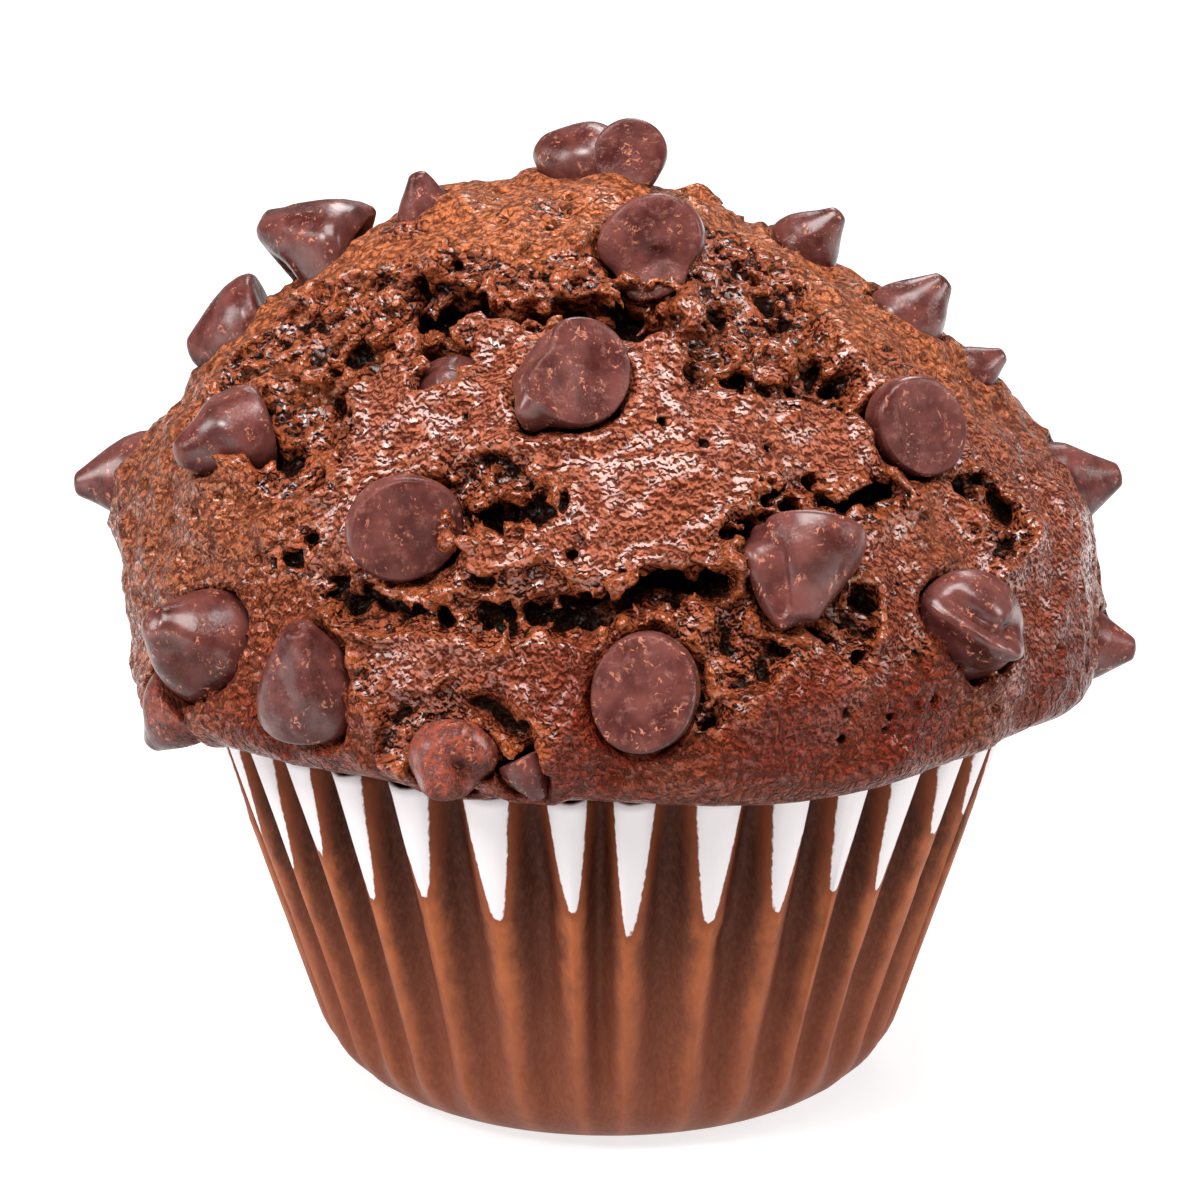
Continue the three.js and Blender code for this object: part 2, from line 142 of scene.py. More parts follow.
deselect()
bpy.ops.mesh.primitive_circle_add(
    vertices=FLUTES * COLUMNS, radius=base_edge * MM, fill_type="NGON", location=(0, 0, 0))
case = bpy.context.object
case.name = "paper_case_skin"
bpy.ops.object.mode_set(mode="EDIT")
bpy.ops.mesh.select_all(action="SELECT")
for _ in range(BASE_RINGS):
    bpy.ops.mesh.inset(thickness=base_edge * BASE_RING * MM)
bpy.ops.mesh.select_all(action="DESELECT")
bpy.ops.object.mode_set(mode="OBJECT")
for edge in case.data.edges:
    ends = [case.data.vertices[i].co.length / MM for i in edge.vertices]
    edge.select = min(ends) > base_edge - 0.01
bpy.ops.object.mode_set(mode="EDIT")
bpy.ops.mesh.select_mode(type="EDGE")
for row in range(1, ROWS + 1):
    below, above = wall_line((row - 1) / ROWS), wall_line(row / ROWS)
    rise, widening = above[1] - below[1], above[0] / below[0]
    bpy.ops.mesh.extrude_edges_move(TRANSFORM_OT_translate={"value": (0, 0, rise * MM)})
    bpy.ops.transform.resize(value=(widening, widening, 1), center_override=(0, 0, 0))
bpy.ops.object.mode_set(mode="OBJECT")

skin = points_of(case.data)
height = skin[:, 2]
reach = np.hypot(skin[:, 0], skin[:, 1])
turned = np.degrees(np.arctan2(skin[:, 0], -skin[:, 1])) % 360
column = np.rint(turned / 360 * FLUTES * COLUMNS).astype(int) % (FLUTES * COLUMNS)
flute, step = column // COLUMNS, (column % COLUMNS) / COLUMNS
azimuth = np.interp(flute + step, np.arange(FLUTES + 1), ridge_azimuth)
from_ridge = np.minimum(step, 1 - step) * 2
crest_end = np.interp(height, PROFILE_HEIGHTS, CREST_ENDS)
valley_start = np.interp(height, PROFILE_HEIGHTS, VALLEY_STARTS)
fall = smoothstep(0, 1, (from_ridge - crest_end) / (valley_start - crest_end))
crest_round = 0.12 * np.minimum(from_ridge / crest_end, 1) ** 2
depth = pleat_depth(height)
radius = reach - depth * np.clip(fall * 0.94 + crest_round * (1 - fall), 0, 1)
# Handling has dented some ridges a little and bent others sideways.
kinks = np.random.default_rng(4)
for _ in range(KINKS):
    kink_flute, kink_height = kinks.integers(0, FLUTES), kinks.uniform(10, 27)
    side = (turned - ridge_azimuth[kink_flute] + 180) % 360 - 180
    near = np.exp(-(side / 3.2) ** 2 - ((height - kink_height) / kinks.uniform(0.8, 2.2)) ** 2)
    radius -= near * kinks.uniform(0.05, 0.35)
    azimuth = azimuth + near * kinks.uniform(-0.8, 0.8)
sway = kinks.uniform(0, 6.28, FLUTES)
azimuth = azimuth + 0.35 * np.sin(height / 9 + sway[flute]) * smoothstep(4, 12, height)
top_dip = 0.45 * smoothstep(0.2, 1, 1 - from_ridge) * smoothstep(33.5, 35, height)
angle = np.radians(azimuth)
placed = np.stack([radius * np.sin(angle), -radius * np.cos(angle), height - top_dip], 1)
base = reach < base_edge - 0.01
placed[base] = skin[base]
set_points(case.data, placed)
bpy.ops.object.shade_smooth()
bpy.ops.object.mode_set(mode="EDIT")
bpy.ops.mesh.select_all(action="SELECT")
bpy.ops.mesh.normals_make_consistent(inside=False)
bpy.ops.object.mode_set(mode="OBJECT")
apply_modifier(case, "SOLIDIFY", thickness=PAPER * MM, offset=-1)


class Shade:
    """A number or colour that varies over a surface. Arithmetic on it adds Math nodes."""

    def __init__(self, recipe, socket):
        self.recipe = recipe
        self.socket = socket

    def math(self, operation, *operands):
        return self.recipe.node("ShaderNodeMath", {"operation": operation}, dict(enumerate(operands)))

    def __add__(self, other):
        return self.math("ADD", self, other)

    def __sub__(self, other):
        return self.math("SUBTRACT", self, other)

    def __rsub__(self, other):
        return self.math("SUBTRACT", other, self)

    def __mul__(self, other):
        return self.math("MULTIPLY", self, other)

    __radd__ = __add__

    def between(self, low, high):
        """0 below low, 1 above high, and a soft step from one to the other."""
        return self.recipe.node("ShaderNodeMapRange", {"interpolation_type": "SMOOTHSTEP"},
                                {"Value": self, "From Min": low, "From Max": high})


class Recipe:
    def __init__(self, name):
        self.material = bpy.data.materials.new(name)
        self.material.use_nodes = True
        self.tree = self.material.node_tree
        self.shader = self.tree.nodes["Principled BSDF"]
        self.place = self.node("ShaderNodeTexCoord", take="Object")

    def node(self, kind, settings=None, values=None, take=0):
        made = self.tree.nodes.new(kind)
        for name, value in (settings or {}).items():
            setattr(made, name, value)
        self.fill(made, values or {})
        return Shade(self, made.outputs[take])

    def fill(self, node, values):
        for name, value in values.items():
            if isinstance(value, Shade):
                self.tree.links.new(value.socket, node.inputs[name])
            else:
                opaque = (1,) if node.inputs[name].type == "RGBA" else ()
                node.inputs[name].default_value = (*value, *opaque) if isinstance(value, tuple) else value

    def noise(self, size, detail=2.0, place=None, roughness=0.5, curl=0.0, take=0):
        """Soft clouds from 0 to 1, with lumps of a size in millimetres. A curl makes worms of them."""
        return self.node("ShaderNodeTexNoise", None, {
            "Vector": place or self.place, "Scale": 1 / (size * MM), "Detail": detail,
            "Roughness": roughness, "Distortion": curl}, take)

    def cells(self, size, place=None):
        """Distance to the nearest of many scattered points, about a size in millimetres apart."""
        return self.node("ShaderNodeTexVoronoi", None,
                         {"Vector": place or self.place, "Scale": 1 / (size * MM)}, "Distance")

    def moved(self, place, shift):
        return self.node("ShaderNodeVectorMath", {"operation": "ADD"}, {0: place, 1: shift})

    def drift(self, size, reach):
        """Shifts within a reach in millimetres that vary over the surface in clouds of a size."""
        clouds = self.noise(size, 0.0, take="Color")
        return self.node("ShaderNodeVectorMath", {"operation": "SCALE"}, {0: clouds, "Scale": reach * MM})

    def mix(self, share, first, second):
        return self.node("ShaderNodeMix", {"data_type": "RGBA"}, {0: share, 6: first, 7: second}, 2)

    def attribute(self, name):
        return self.node("ShaderNodeAttribute", {"attribute_name": name}, take="Fac")

    def bump(self, height, strength=1.0):
        """Surface normal for heights in millimetres."""
        return self.node("ShaderNodeBump", None, {"Height": height, "Distance": MM, "Strength": strength})

    def finish(self, piece, slot, **values):
        """Sets the shader's inputs, whose names have spaces here written as underscores."""
        self.fill(self.shader, {name.replace("_", " "): value for name, value in values.items()})
        piece.data.materials.clear()
        piece.data.materials.append(self.material)


# The free tips of the ridges are dry and white, and reach further down at the front.
skin = points_of(case.data)
turned = np.degrees(np.arctan2(skin[:, 0], -skin[:, 1])) % 360
flute_at = np.interp(turned + 360 * (turned < ridge_azimuth[0]), ridge_azimuth, np.arange(FLUTES + 1))
from_ridge = np.abs(flute_at - np.rint(flute_at)) * 2
tips = repeatable(77)
tip_low = np.array([26 + (next(tips) - 0.5) * 3.4 for _ in range(FLUTES)])
low = tip_low[np.rint(flute_at).astype(int) % FLUTES] - 2.7 * np.cos(np.radians(turned + 8))
up_tip = np.clip((skin[:, 2] - low) / (CASE_HEIGHT - low), 0, 2)
tip_width = 0.58 * up_tip ** 0.55 - 0.2 * (skin[:, 2] < low)
store(case.data, "ridge", 1 - from_ridge)
store(case.data, "dry", tip_width - from_ridge)
store(case.data, "height", skin[:, 2] / CASE_HEIGHT)

paper = Recipe("greased_paper")
ridge = paper.attribute("ridge")
up = paper.attribute("height")
fibres = paper.node("ShaderNodeMapping", None, {"Vector": paper.place, "Scale": (1, 1, 0.45)})
mottle = paper.noise(1.6, 4, fibres, 0.65)
speckle = paper.noise(0.35, 3, fibres, 0.6)
dry = (paper.attribute("dry") + (speckle - 0.5) * 0.1).between(-0.015, 0.03)
# Painted shade: the valleys between the ridges are painted darker than the ridges, and darker still towards
# the rim. The ridges keep the brown of the soaked-in fat.
valley_shade = paper.mix(up.between(0.15, 0.9), (0.15, 0.040, 0.021), (0.022, 0.004, 0.002))
wet_light = paper.mix(up.between(0.0, 0.8), (0.23, 0.068, 0.034), (0.42, 0.115, 0.038))
greased_and_shaded = paper.mix((ridge * 1.1 + (mottle - 0.5) * 0.9).between(0.45, 1.25), valley_shade, wet_light)
speckles = paper.mix(up, (0.36, 0.14, 0.08), (0.16, 0.05, 0.025))
greased_and_shaded = paper.mix(speckle.between(0.3, 0.8) * 0.22, greased_and_shaded, speckles)
beside_tips = paper.attribute("dry").between(-0.4, -0.02) * up.between(0.35, 0.65)
greased_and_shaded = paper.mix(beside_tips * 0.7, greased_and_shaded, (0.19, 0.045, 0.017))
paper.finish(case, "paper", Specular_IOR_Level=0.15, Specular_Tint=(1, 0.6, 0.45),
             Base_Color=paper.mix(dry, greased_and_shaded, (0.69, 0.65, 0.655)),
             Roughness=dry * 0.25 + 0.5,
             Normal=paper.bump(mottle * 0.05 + speckle * 0.03, 0.8))
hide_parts("paper_case")
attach(case, "root")

# ---- Chocolate chips -------------------------------------------------
# Baking chips of dark chocolate, each a drop cast on its flat round foot. They went in with the batter,
# so they lie every way round, a little softened, with crumbs and pale bloom on them.
CHIP_RINGS = 44
CHIP_SEGMENTS = 61
# Height and radius from the middle of the foot over its rounded rim to the blunt tip, as shares. The
# stations lie closer together towards the tip.
CHIP_HEIGHTS = [0, 0.0, 0.01, 0.055, 0.18, 0.36, 0.54, 0.72, 0.87, 0.97, 1.0]
CHIP_WIDTHS = [0, 0.84, 0.95, 1.0, 1.01, 0.93, 0.75, 0.53, 0.36, 0.25, 0]


def measure_chip(name):
    """Foot, axis, widths and tip of a chip's solid, read from its flat foot."""
    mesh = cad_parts[name].data
    points = points_of(mesh)
    corners = points[np.array([face.vertices[:] for face in mesh.polygons])]
    outward = np.cross(corners[:, 1] - corners[:, 0], corners[:, 2] - corners[:, 0])
    area = np.linalg.norm(outward, axis=1)
    outward /= area[:, None]
    flat = outward @ outward.T > 0.9995
    foot_faces = flat[np.argmax(flat @ area)]
    foot = np.average(corners[foot_faces].mean(1), axis=0, weights=area[foot_faces])
    axis = -np.average(outward[foot_faces], axis=0, weights=area[foot_faces])
    axis /= np.linalg.norm(axis)
    along = (points - foot) @ axis
    across = points - foot - along[:, None] * axis
    rim = across[along < 0.3 * along.max()]
    _, ways = np.linalg.eigh(rim.T @ rim)
    wide, narrow = ways[:, 2], ways[:, 1]
    if np.dot(np.cross(wide, narrow), axis) < 0:
        narrow = -narrow
    tip = across[along > 0.98 * along.max()].mean(0)
    return {
        "foot": foot, "axis": axis, "wide": wide, "narrow": narrow, "tip": tip, "height": along.max(),
        "half": (np.abs(rim @ wide).max() * 0.985, np.abs(rim @ narrow).max() * 0.985),
    }


# Marks on single chips, such as a dripped tail, a fold, a dent or a broken hollow: a line from one place
# to another as it is seen from the front, right and up from the chip's middle, then height and breadth.
CHIP_MARKS = {
    "chip_02": [((-3.4, -2.0), (-2.6, -3.8), 1.3, 0.6), ((-2.6, 3.4), (-5.0, 1.6), -1.5, 1.1),
                ((-5, -0.5), (-5, -0.5), 0.5, 0.8), ((1.6, 0.6), (1.6, 0.6), -0.4, 1.6)],
    "chip_03": [((0.6, -1.2), (0.6, -1.2), -1.1, 1.6), ((-1.2, -3.4), (2.6, -2.8), 0.7, 0.8),
                ((-4, -3), (-4, -3), -1.2, 1.8), ((4.4, -3), (4.4, -3), -1.2, 1.8)],
    "chip_05": [((0, 0.5), (0.5, -0.5), -0.35, 2)],
    "chip_06": [((-3.9, 1.0), (-2.2, -4.0), 1.4, 0.8), ((-2.6, 1.8), (-1.8, -2.8), -0.7, 0.4),
                ((-4.6, 2.8), (-4.6, 2.8), -0.8, 1.2)],
    "chip_07": [((-2.8, 2.4), (3.4, -1.2), 1.1, 0.75), ((-1.2, 3.0), (3.6, 0.4), -1.0, 0.5),
                ((-3, -1), (1, -3), -0.3, 1.0)],
    "chip_08": [((-0.4, 3.8), (-0.8, -3), 0.5, 0.8), ((1.8, 0.5), (2.2, -2), -0.4, 1.2)],
    "chip_09": [((-2.5, 1.2), (0.5, -2.6), -0.4, 0.8), ((-1, 2), (2, 1), 0.3, 1)],
    "chip_11": [((0.5, -0.4), (1.6, -1.4), -2.0, 1.2), ((-2, -2.2), (2, -3), 0.5, 0.7),
                ((-2.4, 1.4), (1, 2.4), 0.3, 0.8)],
    "chip_13": [((-1, 2.4), (2, 0), 0.3, 1.2)],
    "chip_16": [((-3.6, 1.8), (-2.0, 2.6), 0.9, 1.3), ((-4, -1), (-1.5, -3.5), -0.9, 1.6),
                ((4.4, 2.6), (4.6, 1.6), -1.6, 1.8), ((-0.5, 3), (1, 3), 0.6, 1.6)],
    "chip_17": [((1.6, 2.4), (2.6, 0.6), -0.7, 1.2), ((2.6, -2), (4.2, -2.6), 1.1, 1.1)],
    "chip_18": [((-2.6, 1.4), (0, 2.4), 1.6, 2.2), ((-2.6, -1.5), (0, -2), 0.8, 1.6)],
    "chip_19": [((-2.5, -2.6), (2, -3), 0.9, 0.9)],
}
BROKEN_CHIPS = ("chip_10", "chip_11")


def press(world, name):
    """Works the chip's own marks into its points, on the side that faces the front."""
    centre = (world.max(0) + world.min(0)) / 2
    front = world[:, 1] < centre[1] + 1
    outward = world - centre
    outward /= np.linalg.norm(outward, axis=1, keepdims=True)
    seen = (world - centre)[:, [0, 2]]
    moved = world.copy()
    for start, end, lift, breadth in CHIP_MARKS.get(name, []):
        way = np.subtract(end, start)
        share = np.clip((seen - start) @ way / max(way @ way, 0.01), 0, 1)
        away = np.linalg.norm(seen - start - share[:, None] * way, axis=1)
        moved += outward * (lift * np.exp(-(away / breadth) ** 2) * front)[:, None]
    return moved


def soft_waves(points, size, seed):
    """A few crossed sine waves: gentle unevenness of a size in millimetres, from -1 to 1."""
    random = np.random.default_rng(seed)
    total = np.zeros(len(points))
    for _ in range(5):
        way = random.normal(size=3)
        way *= 2 * math.pi / size / np.linalg.norm(way) * random.uniform(0.7, 1.3)
        total += np.sin(points @ way + random.uniform(0, 6.28))
    return total / 5


chip_names = sorted(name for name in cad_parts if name.startswith("chip_"))
chip_points = {}
chip_axes = {}
chips = {}
for number, name in enumerate(chip_names, 1):
    chip = measure_chip(name)
    deselect()
    bpy.ops.mesh.primitive_uv_sphere_add(
        segments=CHIP_SEGMENTS, ring_count=CHIP_RINGS, radius=1, location=(0, 0, 0))
    piece = bpy.context.object
    piece.name = name + "_drop"
    ball = points_of(piece.data) * MM
    share = np.arccos(np.clip(-ball[:, 2], -1, 1)) / math.pi
    stations = np.linspace(0, 1, len(CHIP_WIDTHS)) ** 0.8
    across = np.interp(share, stations, CHIP_WIDTHS)
    upward = np.interp(share, stations, CHIP_HEIGHTS)
    turn = np.arctan2(ball[:, 1], ball[:, 0])
    local = np.stack([across * np.cos(turn) * chip["half"][0], across * np.sin(turn) * chip["half"][1],
                      upward * chip["height"]], 1)
    uneven = soft_waves(local, 9, number) * 0.22 + soft_waves(local, 3.5, number + 50) * 0.06
    local += uneven[:, None] * local / np.maximum(np.linalg.norm(local, axis=1), 1)[:, None]
    world = chip["foot"] + local @ np.stack([chip["wide"], chip["narrow"], chip["axis"]])
    world += upward[:, None] ** 2 * chip["tip"]
    set_points(piece.data, press(world, name))
    bpy.ops.object.shade_smooth()
    apply_modifier(piece, "SMOOTH", iterations=4, factor=0.5)
    chips[name] = piece
    chip_points[name] = points_of(piece.data)
    chip_axes[name] = chip["axis"]
    store(piece.data, "foot", 1 - smoothstep(0.0, 0.06, upward))
    normals = np.empty(3 * len(world))
    piece.data.vertices.foreach_get("normal", normals)
    # Where the chip's surface faces down: painted shade on its lower side, and less gloss there.
    store(piece.data, "lower", 1 - smoothstep(-0.8, 0.1, normals[2::3]))
    ahead = chip["foot"][1] - chip_points[name][:, 1]
    store(piece.data, "broken", (name in BROKEN_CHIPS) * smoothstep(-0.3, 1.2, ahead))

chocolate = Recipe("dark_chocolate")
foot = chocolate.attribute("foot")
broken = chocolate.attribute("broken")
lower = chocolate.attribute("lower")
cloud = chocolate.noise(2.4, 3)
loose = chocolate.moved(chocolate.place, chocolate.drift(0.6, 1.0))
specks = chocolate.noise(0.6, 2, loose, 0.75).between(0.575, 0.64)
specks = specks * chocolate.noise(1.7, 2).between(0.46, 0.62)
grain = chocolate.noise(0.22, 3)
scuffs = chocolate.noise(0.9, 3, roughness=0.7).between(0.50, 0.72)
crumbly = chocolate.noise(0.7, 2, roughness=0.75)
tone = chocolate.mix(cloud.between(0.3, 0.7), (0.055, 0.011, 0.009), (0.135, 0.038, 0.031))
tone = chocolate.mix(scuffs * (foot * 0.4 + 0.15), tone, (0.22, 0.080, 0.062))
tone = chocolate.mix(broken * crumbly.between(0.4, 0.62), tone, (0.24, 0.045, 0.022))
# Painted shade: the lower sides of each chip are painted very dark.
tone = chocolate.mix(lower * 0.7, tone, (0.020, 0.004, 0.003))
tone = chocolate.mix(specks * 0.9, tone, chocolate.mix(crumbly, (0.22, 0.070, 0.045), (0.62, 0.23, 0.13)))
gloss = chocolate.noise(3.5, 2).between(0.42, 0.62) + grain.between(0.45, 0.65) * 0.4
gloss = gloss * (1 - lower) * (1 - foot * 0.7)
surface = chocolate.bump(grain * 0.03 + cloud * 0.3 + scuffs * foot * 0.05 + crumbly * broken * 0.6, 0.8)
for name, piece in chips.items():
    chocolate.finish(piece, "chocolate", Base_Color=tone, Normal=surface,
                     Specular_IOR_Level=0.22, Specular_Tint=(1, 0.7, 0.66),
                     Roughness=cloud * 0.22 + scuffs * 0.12 + foot * 0.08 + broken * 0.2 + 0.17,
                     Coat_Weight=gloss.between(0, 1.1) * 0.8, Coat_Roughness=0.25, Coat_IOR=1.55)
    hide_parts(name)
    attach(piece, "root")

# ---- Cake ------------------------------------------------------------
# One baked muffin: a satin crust that burst as it rose, and moist dark crumb in the tears. Its shape is
# worked out as a field of distances on a fine grid, because no tool for surfaces makes torn crumb.
CELL = 0.35
# The dome is a rounded form above and below its widest ring, and leans a little to the left.
DOME_LEVEL = 40.5
DOME_RADIUS = 42.5
DOME_RISE = 37.7
DOME_DROP = 5.5
RISE_POWER = 1.75
DROP_POWER = 4.2
DOME_LEAN = -3.6
LEAN_POWER = 1.5
# The plug below it is cut from the field at PLUG_FROM and drawn down to the case's floor.
PLUG_FROM = 29.0
PLUG_TOP = 40.0
PLUG_RADII = [(30.2, 29.0), (23.4, 9.0), (17.5, 1.2)]
# Gaps to the case's ridges and to the chips.
PLUG_GAP = 2.75
CHIP_GAP = 0.42
STEAM_PITS = 1100
CRUST_TRIANGLES = 190_000
# Azimuth, latitude, height outwards and breadth in mm.
SWELLINGS = [
    (2, 40, 1.6, 13), (-80, 27, 1.7, 9), (-88, 14, 0.8, 6), (-82, -4, -2.2, 8), (82, -2, -1, 8),
    (-96, 49, -1.2, 8), (-10, 70, 1.2, 9), (104, 60, -1.6, 8), (40, 76, 1.2, 6), (22, 6, 1.3, 11),
    (-36, 14, -0.8, 9), (78, 12, 0.8, 10), (120, 20, 1.4, 12), (150, 46, 1.5, 11), (176, 12, -1.2, 10),
    (196, 62, 1.3, 9), (214, 30, 1.5, 12), (238, 10, 1.1, 10), (-78, 74, 1.5, 3.2),
]
# Tears: a line of azimuths and latitudes, then width, depth and undercut in mm.
TEARS = [
    ([(-64, 46), (-50, 48), (-40, 51), (-36, 57), (-26, 59), (-10, 57), (2, 57), (12, 57), (22, 50),
      (34, 45), (47, 41)], 4.6, 5.5, 2.2),
    ([(40, 68), (33, 60), (26, 51)], 4.5, 3.6, 0),
    ([(64, 60), (52, 53), (47, 47), (47, 41)], 4.5, 4.2, 1),
    ([(-42, 49), (-45, 43), (-41, 38), (-39, 32)], 3.4, 4.4, 0),
    ([(-37, 22), (-30, 20), (-22, 20), (-12, 19), (-2, 19)], 2.2, 2.4, 1.0),
    ([(-3, 18), (4, 21), (8, 22), (13, 22), (18, 23)], 3.0, 4.5, 3.0),
    ([(17, 28), (20, 31), (30, 33), (36, 31), (44, 31), (51, 33)], 2.6, 4, 1.2),
    ([(56, 33), (60, 28), (57, 21)], 3, 2.6, 0),
    ([(-19, 31), (-12, 31), (-6, 32)], 3.2, 3.2, 0.8),
    ([(-30, 55), (-26, 50), (-21, 47)], 5.5, 4.4, 0),
    ([(10, 15), (11, 11), (10, 6)], 2.0, 3.0, 0),
]
# Wide places where the crust has come away and only shallow crumb shows.
BARE_PATCHES = [
    ([(-72, 42), (-66, 49), (-56, 53), (-46, 56)], 8.5, 1.5, 0),
    ([(-36, 63), (-22, 62), (-8, 61), (6, 62), (15, 62)], 5.0, 1.2, 0),
    ([(56, 67), (46, 60), (38, 52), (36, 48)], 13, 2.2, 0),
    ([(20, 50), (34, 47), (46, 43), (52, 41)], 6, 2.4, 0),
    ([(-56, 43), (-49, 38), (-43, 33)], 7, 1.8, 0),
    ([(-20, 35), (-12, 34), (-4, 34)], 5, 1.0, 0),
    ([(-30, 23), (-20, 22), (-8, 22), (2, 19)], 4.5, 0.9, 0),
    ([(3, 17), (9, 18), (15, 17), (22, 19), (31, 20)], 6, 1.3, 0),
    ([(16, 28), (20, 30), (26, 30)], 5, 2.0, 0),
    ([(57, 33), (60, 28), (58, 20)], 5, 1.2, 0),
    ([(-24, 4), (-14, 6), (-8, 2)], 5, 0.8, 0),
]
# Small deep holes and slits; the material paints them very dark at the bottom as painted shade.
HOLES = [
    ([(-48, 49), (-42, 50), (-35, 49)], 3.6, 7.5, 1.5), ([(-44, 47), (-46, 43), (-40, 38)], 3.2, 7, 0),
    ([(-56, 54), (-50, 54)], 1.8, 4.5, 0), ([(-30, 61), (-22, 60), (-14, 60)], 2.2, 6, 1.5),
    ([(-8, 59), (2, 60)], 2.4, 6, 1.5), ([(40, 62), (42, 57)], 2.0, 5, 0),
    ([(46, 50), (42, 47), (36, 47)], 2.2, 5, 0), ([(-62, 46), (-56, 48)], 1.6, 4.5, 0),
    ([(-35, 59), (-29, 62), (-23, 62)], 2.0, 5.5, 1), ([(-42, 54), (-38, 51)], 1.8, 5.5, 0),
    ([(-33, 50), (-24, 52)], 3.0, 5.5, 0), ([(14, 66), (12, 60)], 2.0, 5.5, 0),
    ([(56, 68), (59, 66)], 1.8, 4.5, 0), ([(66, 64), (60, 61)], 1.7, 4, 0),
    ([(58, 60), (54, 57)], 1.5, 4, 0), ([(37, 54), (33, 52)], 2.6, 5.5, 0),
    ([(21, 50), (26, 49)], 2.0, 5.5, 0), ([(47, 56), (45, 53)], 1.5, 4, 0),
    ([(52, 48), (51, 44)], 2.0, 4.5, 0), ([(46, 42), (50, 40)], 2.2, 5, 0),
    ([(-39, 34), (-37, 34)], 1.0, 2.4, 0), ([(-39, 26), (-37, 26)], 1.0, 2.4, 0),
    ([(-43, 23), (-38, 24)], 1.3, 3, 0), ([(-17, 31), (-11, 30)], 2.2, 5, 0.5),
    ([(-12, 19), (-5, 19), (2, 19)], 1.5, 4.5, 1), ([(-29, 12), (-27, 12)], 1.1, 2.6, 0),
    ([(-28, 9), (-27, 9)], 0.9, 2.2, 0), ([(3, 22), (8, 23), (13, 23), (18, 24)], 1.8, 6, 3.2),
    ([(17, 28), (19, 31)], 2.2, 5, 0.5), ([(28, 34), (36, 32), (46, 31)], 1.4, 5, 1),
    ([(27, 14), (29, 14)], 1.2, 2.4, 0), ([(17, 14), (21, 14)], 0.9, 2.2, 0),
    ([(35, 13), (37, 13)], 1.1, 2.4, 0), ([(57, 26), (59, 24)], 1.6, 3.5, 0),
    ([(-84, 67), (-70, 68)], 1.6, 2.5, 0), ([(-60, 38), (-56, 39)], 1.5, 3.5, 0),
    ([(-12, 75), (-8, 76)], 0.9, 1.6, 0), ([(62, 46), (64, 43)], 1.0, 2.2, 0),
]
# Soft creases in the whole crust, and welts that stand out of it: line, width and height.
FOLDS = [
    ([(-38, 38), (-44, 32), (-52, 28)], 1.5, -1.1),
    ([(-40, 21), (-31, 19), (-24, 18), (-16, 20)], 1.6, -0.9),
    ([(-26, -2), (-24, 5), (-18, 8), (-13, 8), (-9, 3), (-8, -3)], 1.1, -1.7),
    ([(9, 4), (14, 10), (24, 14), (36, 11)], 1.5, -0.9), ([(8, 1), (14, 7), (24, 10), (36, 8)], 2.6, 0.9),
    ([(-70, 22), (-58, 20), (-46, 16)], 1.8, -0.7),
    ([(52, 22), (46, 8), (40, -6)], 2.0, -0.6), ([(-4, 12), (-12, 14), (-22, 13)], 1.8, -0.5),
    ([(2, 23), (5, 26), (9, 27), (12, 24), (18, 25)], 0.9, 0.9), ([(15, 32), (16, 28), (18, 25)], 0.9, 0.8),
    ([(22, 53), (34, 62)], 1.3, 1.6), ([(32, 55), (40, 58)], 1.1, 1.5), ([(42, 54), (53, 59)], 1.1, 1.3),
    ([(-44, 60), (-36, 53), (-31, 49)], 1.3, 1.9), ([(-52, 52), (-44, 53)], 1.6, 1.4),
    ([(-18, 36), (-10, 37), (-2, 36)], 0.8, -0.7), ([(-16, 33), (-8, 33)], 0.7, 0.7),
    ([(60, 60), (70, 50), (72, 40)], 2.2, -0.7), ([(-2, 44), (12, 43), (26, 38), (38, 36)], 1.6, 0.6),
    ([(-30, 45), (-34, 38), (-32, 30)], 2.2, 0.6),
]
# Where the crust is moist and shiny: azimuth, latitude and breadth in mm.
SHINY = [(-26, 38, 9), (60, 32, 8), (76, 22, 9), (6, 38, 15), (22, 22, 12), (-14, 14, 11), (60, 16, 10),
         (-18, 44, 9), (40, 40, 8), (172, 36, 14), (190, 14, 12)]
# Where it baked darker and redder.
DARK = [(18, 2, 12), (0, 6, 9), (34, 4, 10), (-4, -14, 12), (30, -14, 12), (-38, -14, 12), (62, -16, 12),
        (170, 2, 14)]


def behind(features):
    """The same features seen in a mirror, a little lower, for the side that nothing shows."""
    return features + [([(187 - a, b * 0.88) for a, b in line], *rest) for line, *rest in features]


def dome_point(azimuth, latitude):
    """Point of the smooth dome and its outward direction: latitude 0 is the widest ring, 90 the crown."""
    azimuth, latitude = np.radians(azimuth), np.radians(latitude)
    power = np.where(latitude > 0, RISE_POWER, DROP_POWER)
    rise = np.where(latitude > 0, DOME_RISE, DOME_DROP)
    across = np.cos(latitude) ** (2 / power)
    upward = np.abs(np.sin(latitude)) ** (2 / power)
    side = np.stack([np.sin(azimuth), -np.cos(azimuth)], -1)
    point = np.concatenate([side * (DOME_RADIUS * across)[..., None],
                            (DOME_LEVEL + np.sign(latitude) * rise * upward)[..., None]], -1)
    point[..., 0] += np.where(latitude > 0, DOME_LEAN * upward ** LEAN_POWER, 0)
    outward = np.concatenate([side * (across ** (power - 1) / DOME_RADIUS)[..., None],
                              (np.sign(latitude) * upward ** (power - 1) / rise)[..., None]], -1)
    return point, outward / np.linalg.norm(outward, axis=-1, keepdims=True)


gx = np.arange(-46.5, 46.5, CELL, dtype=np.float32)
gy = np.arange(-46.0, 46.0, CELL, dtype=np.float32)
gz = np.arange(PLUG_FROM, 81.5, CELL, dtype=np.float32)
lines = (gx, gy, gz)
shape = tuple(len(line) for line in lines)


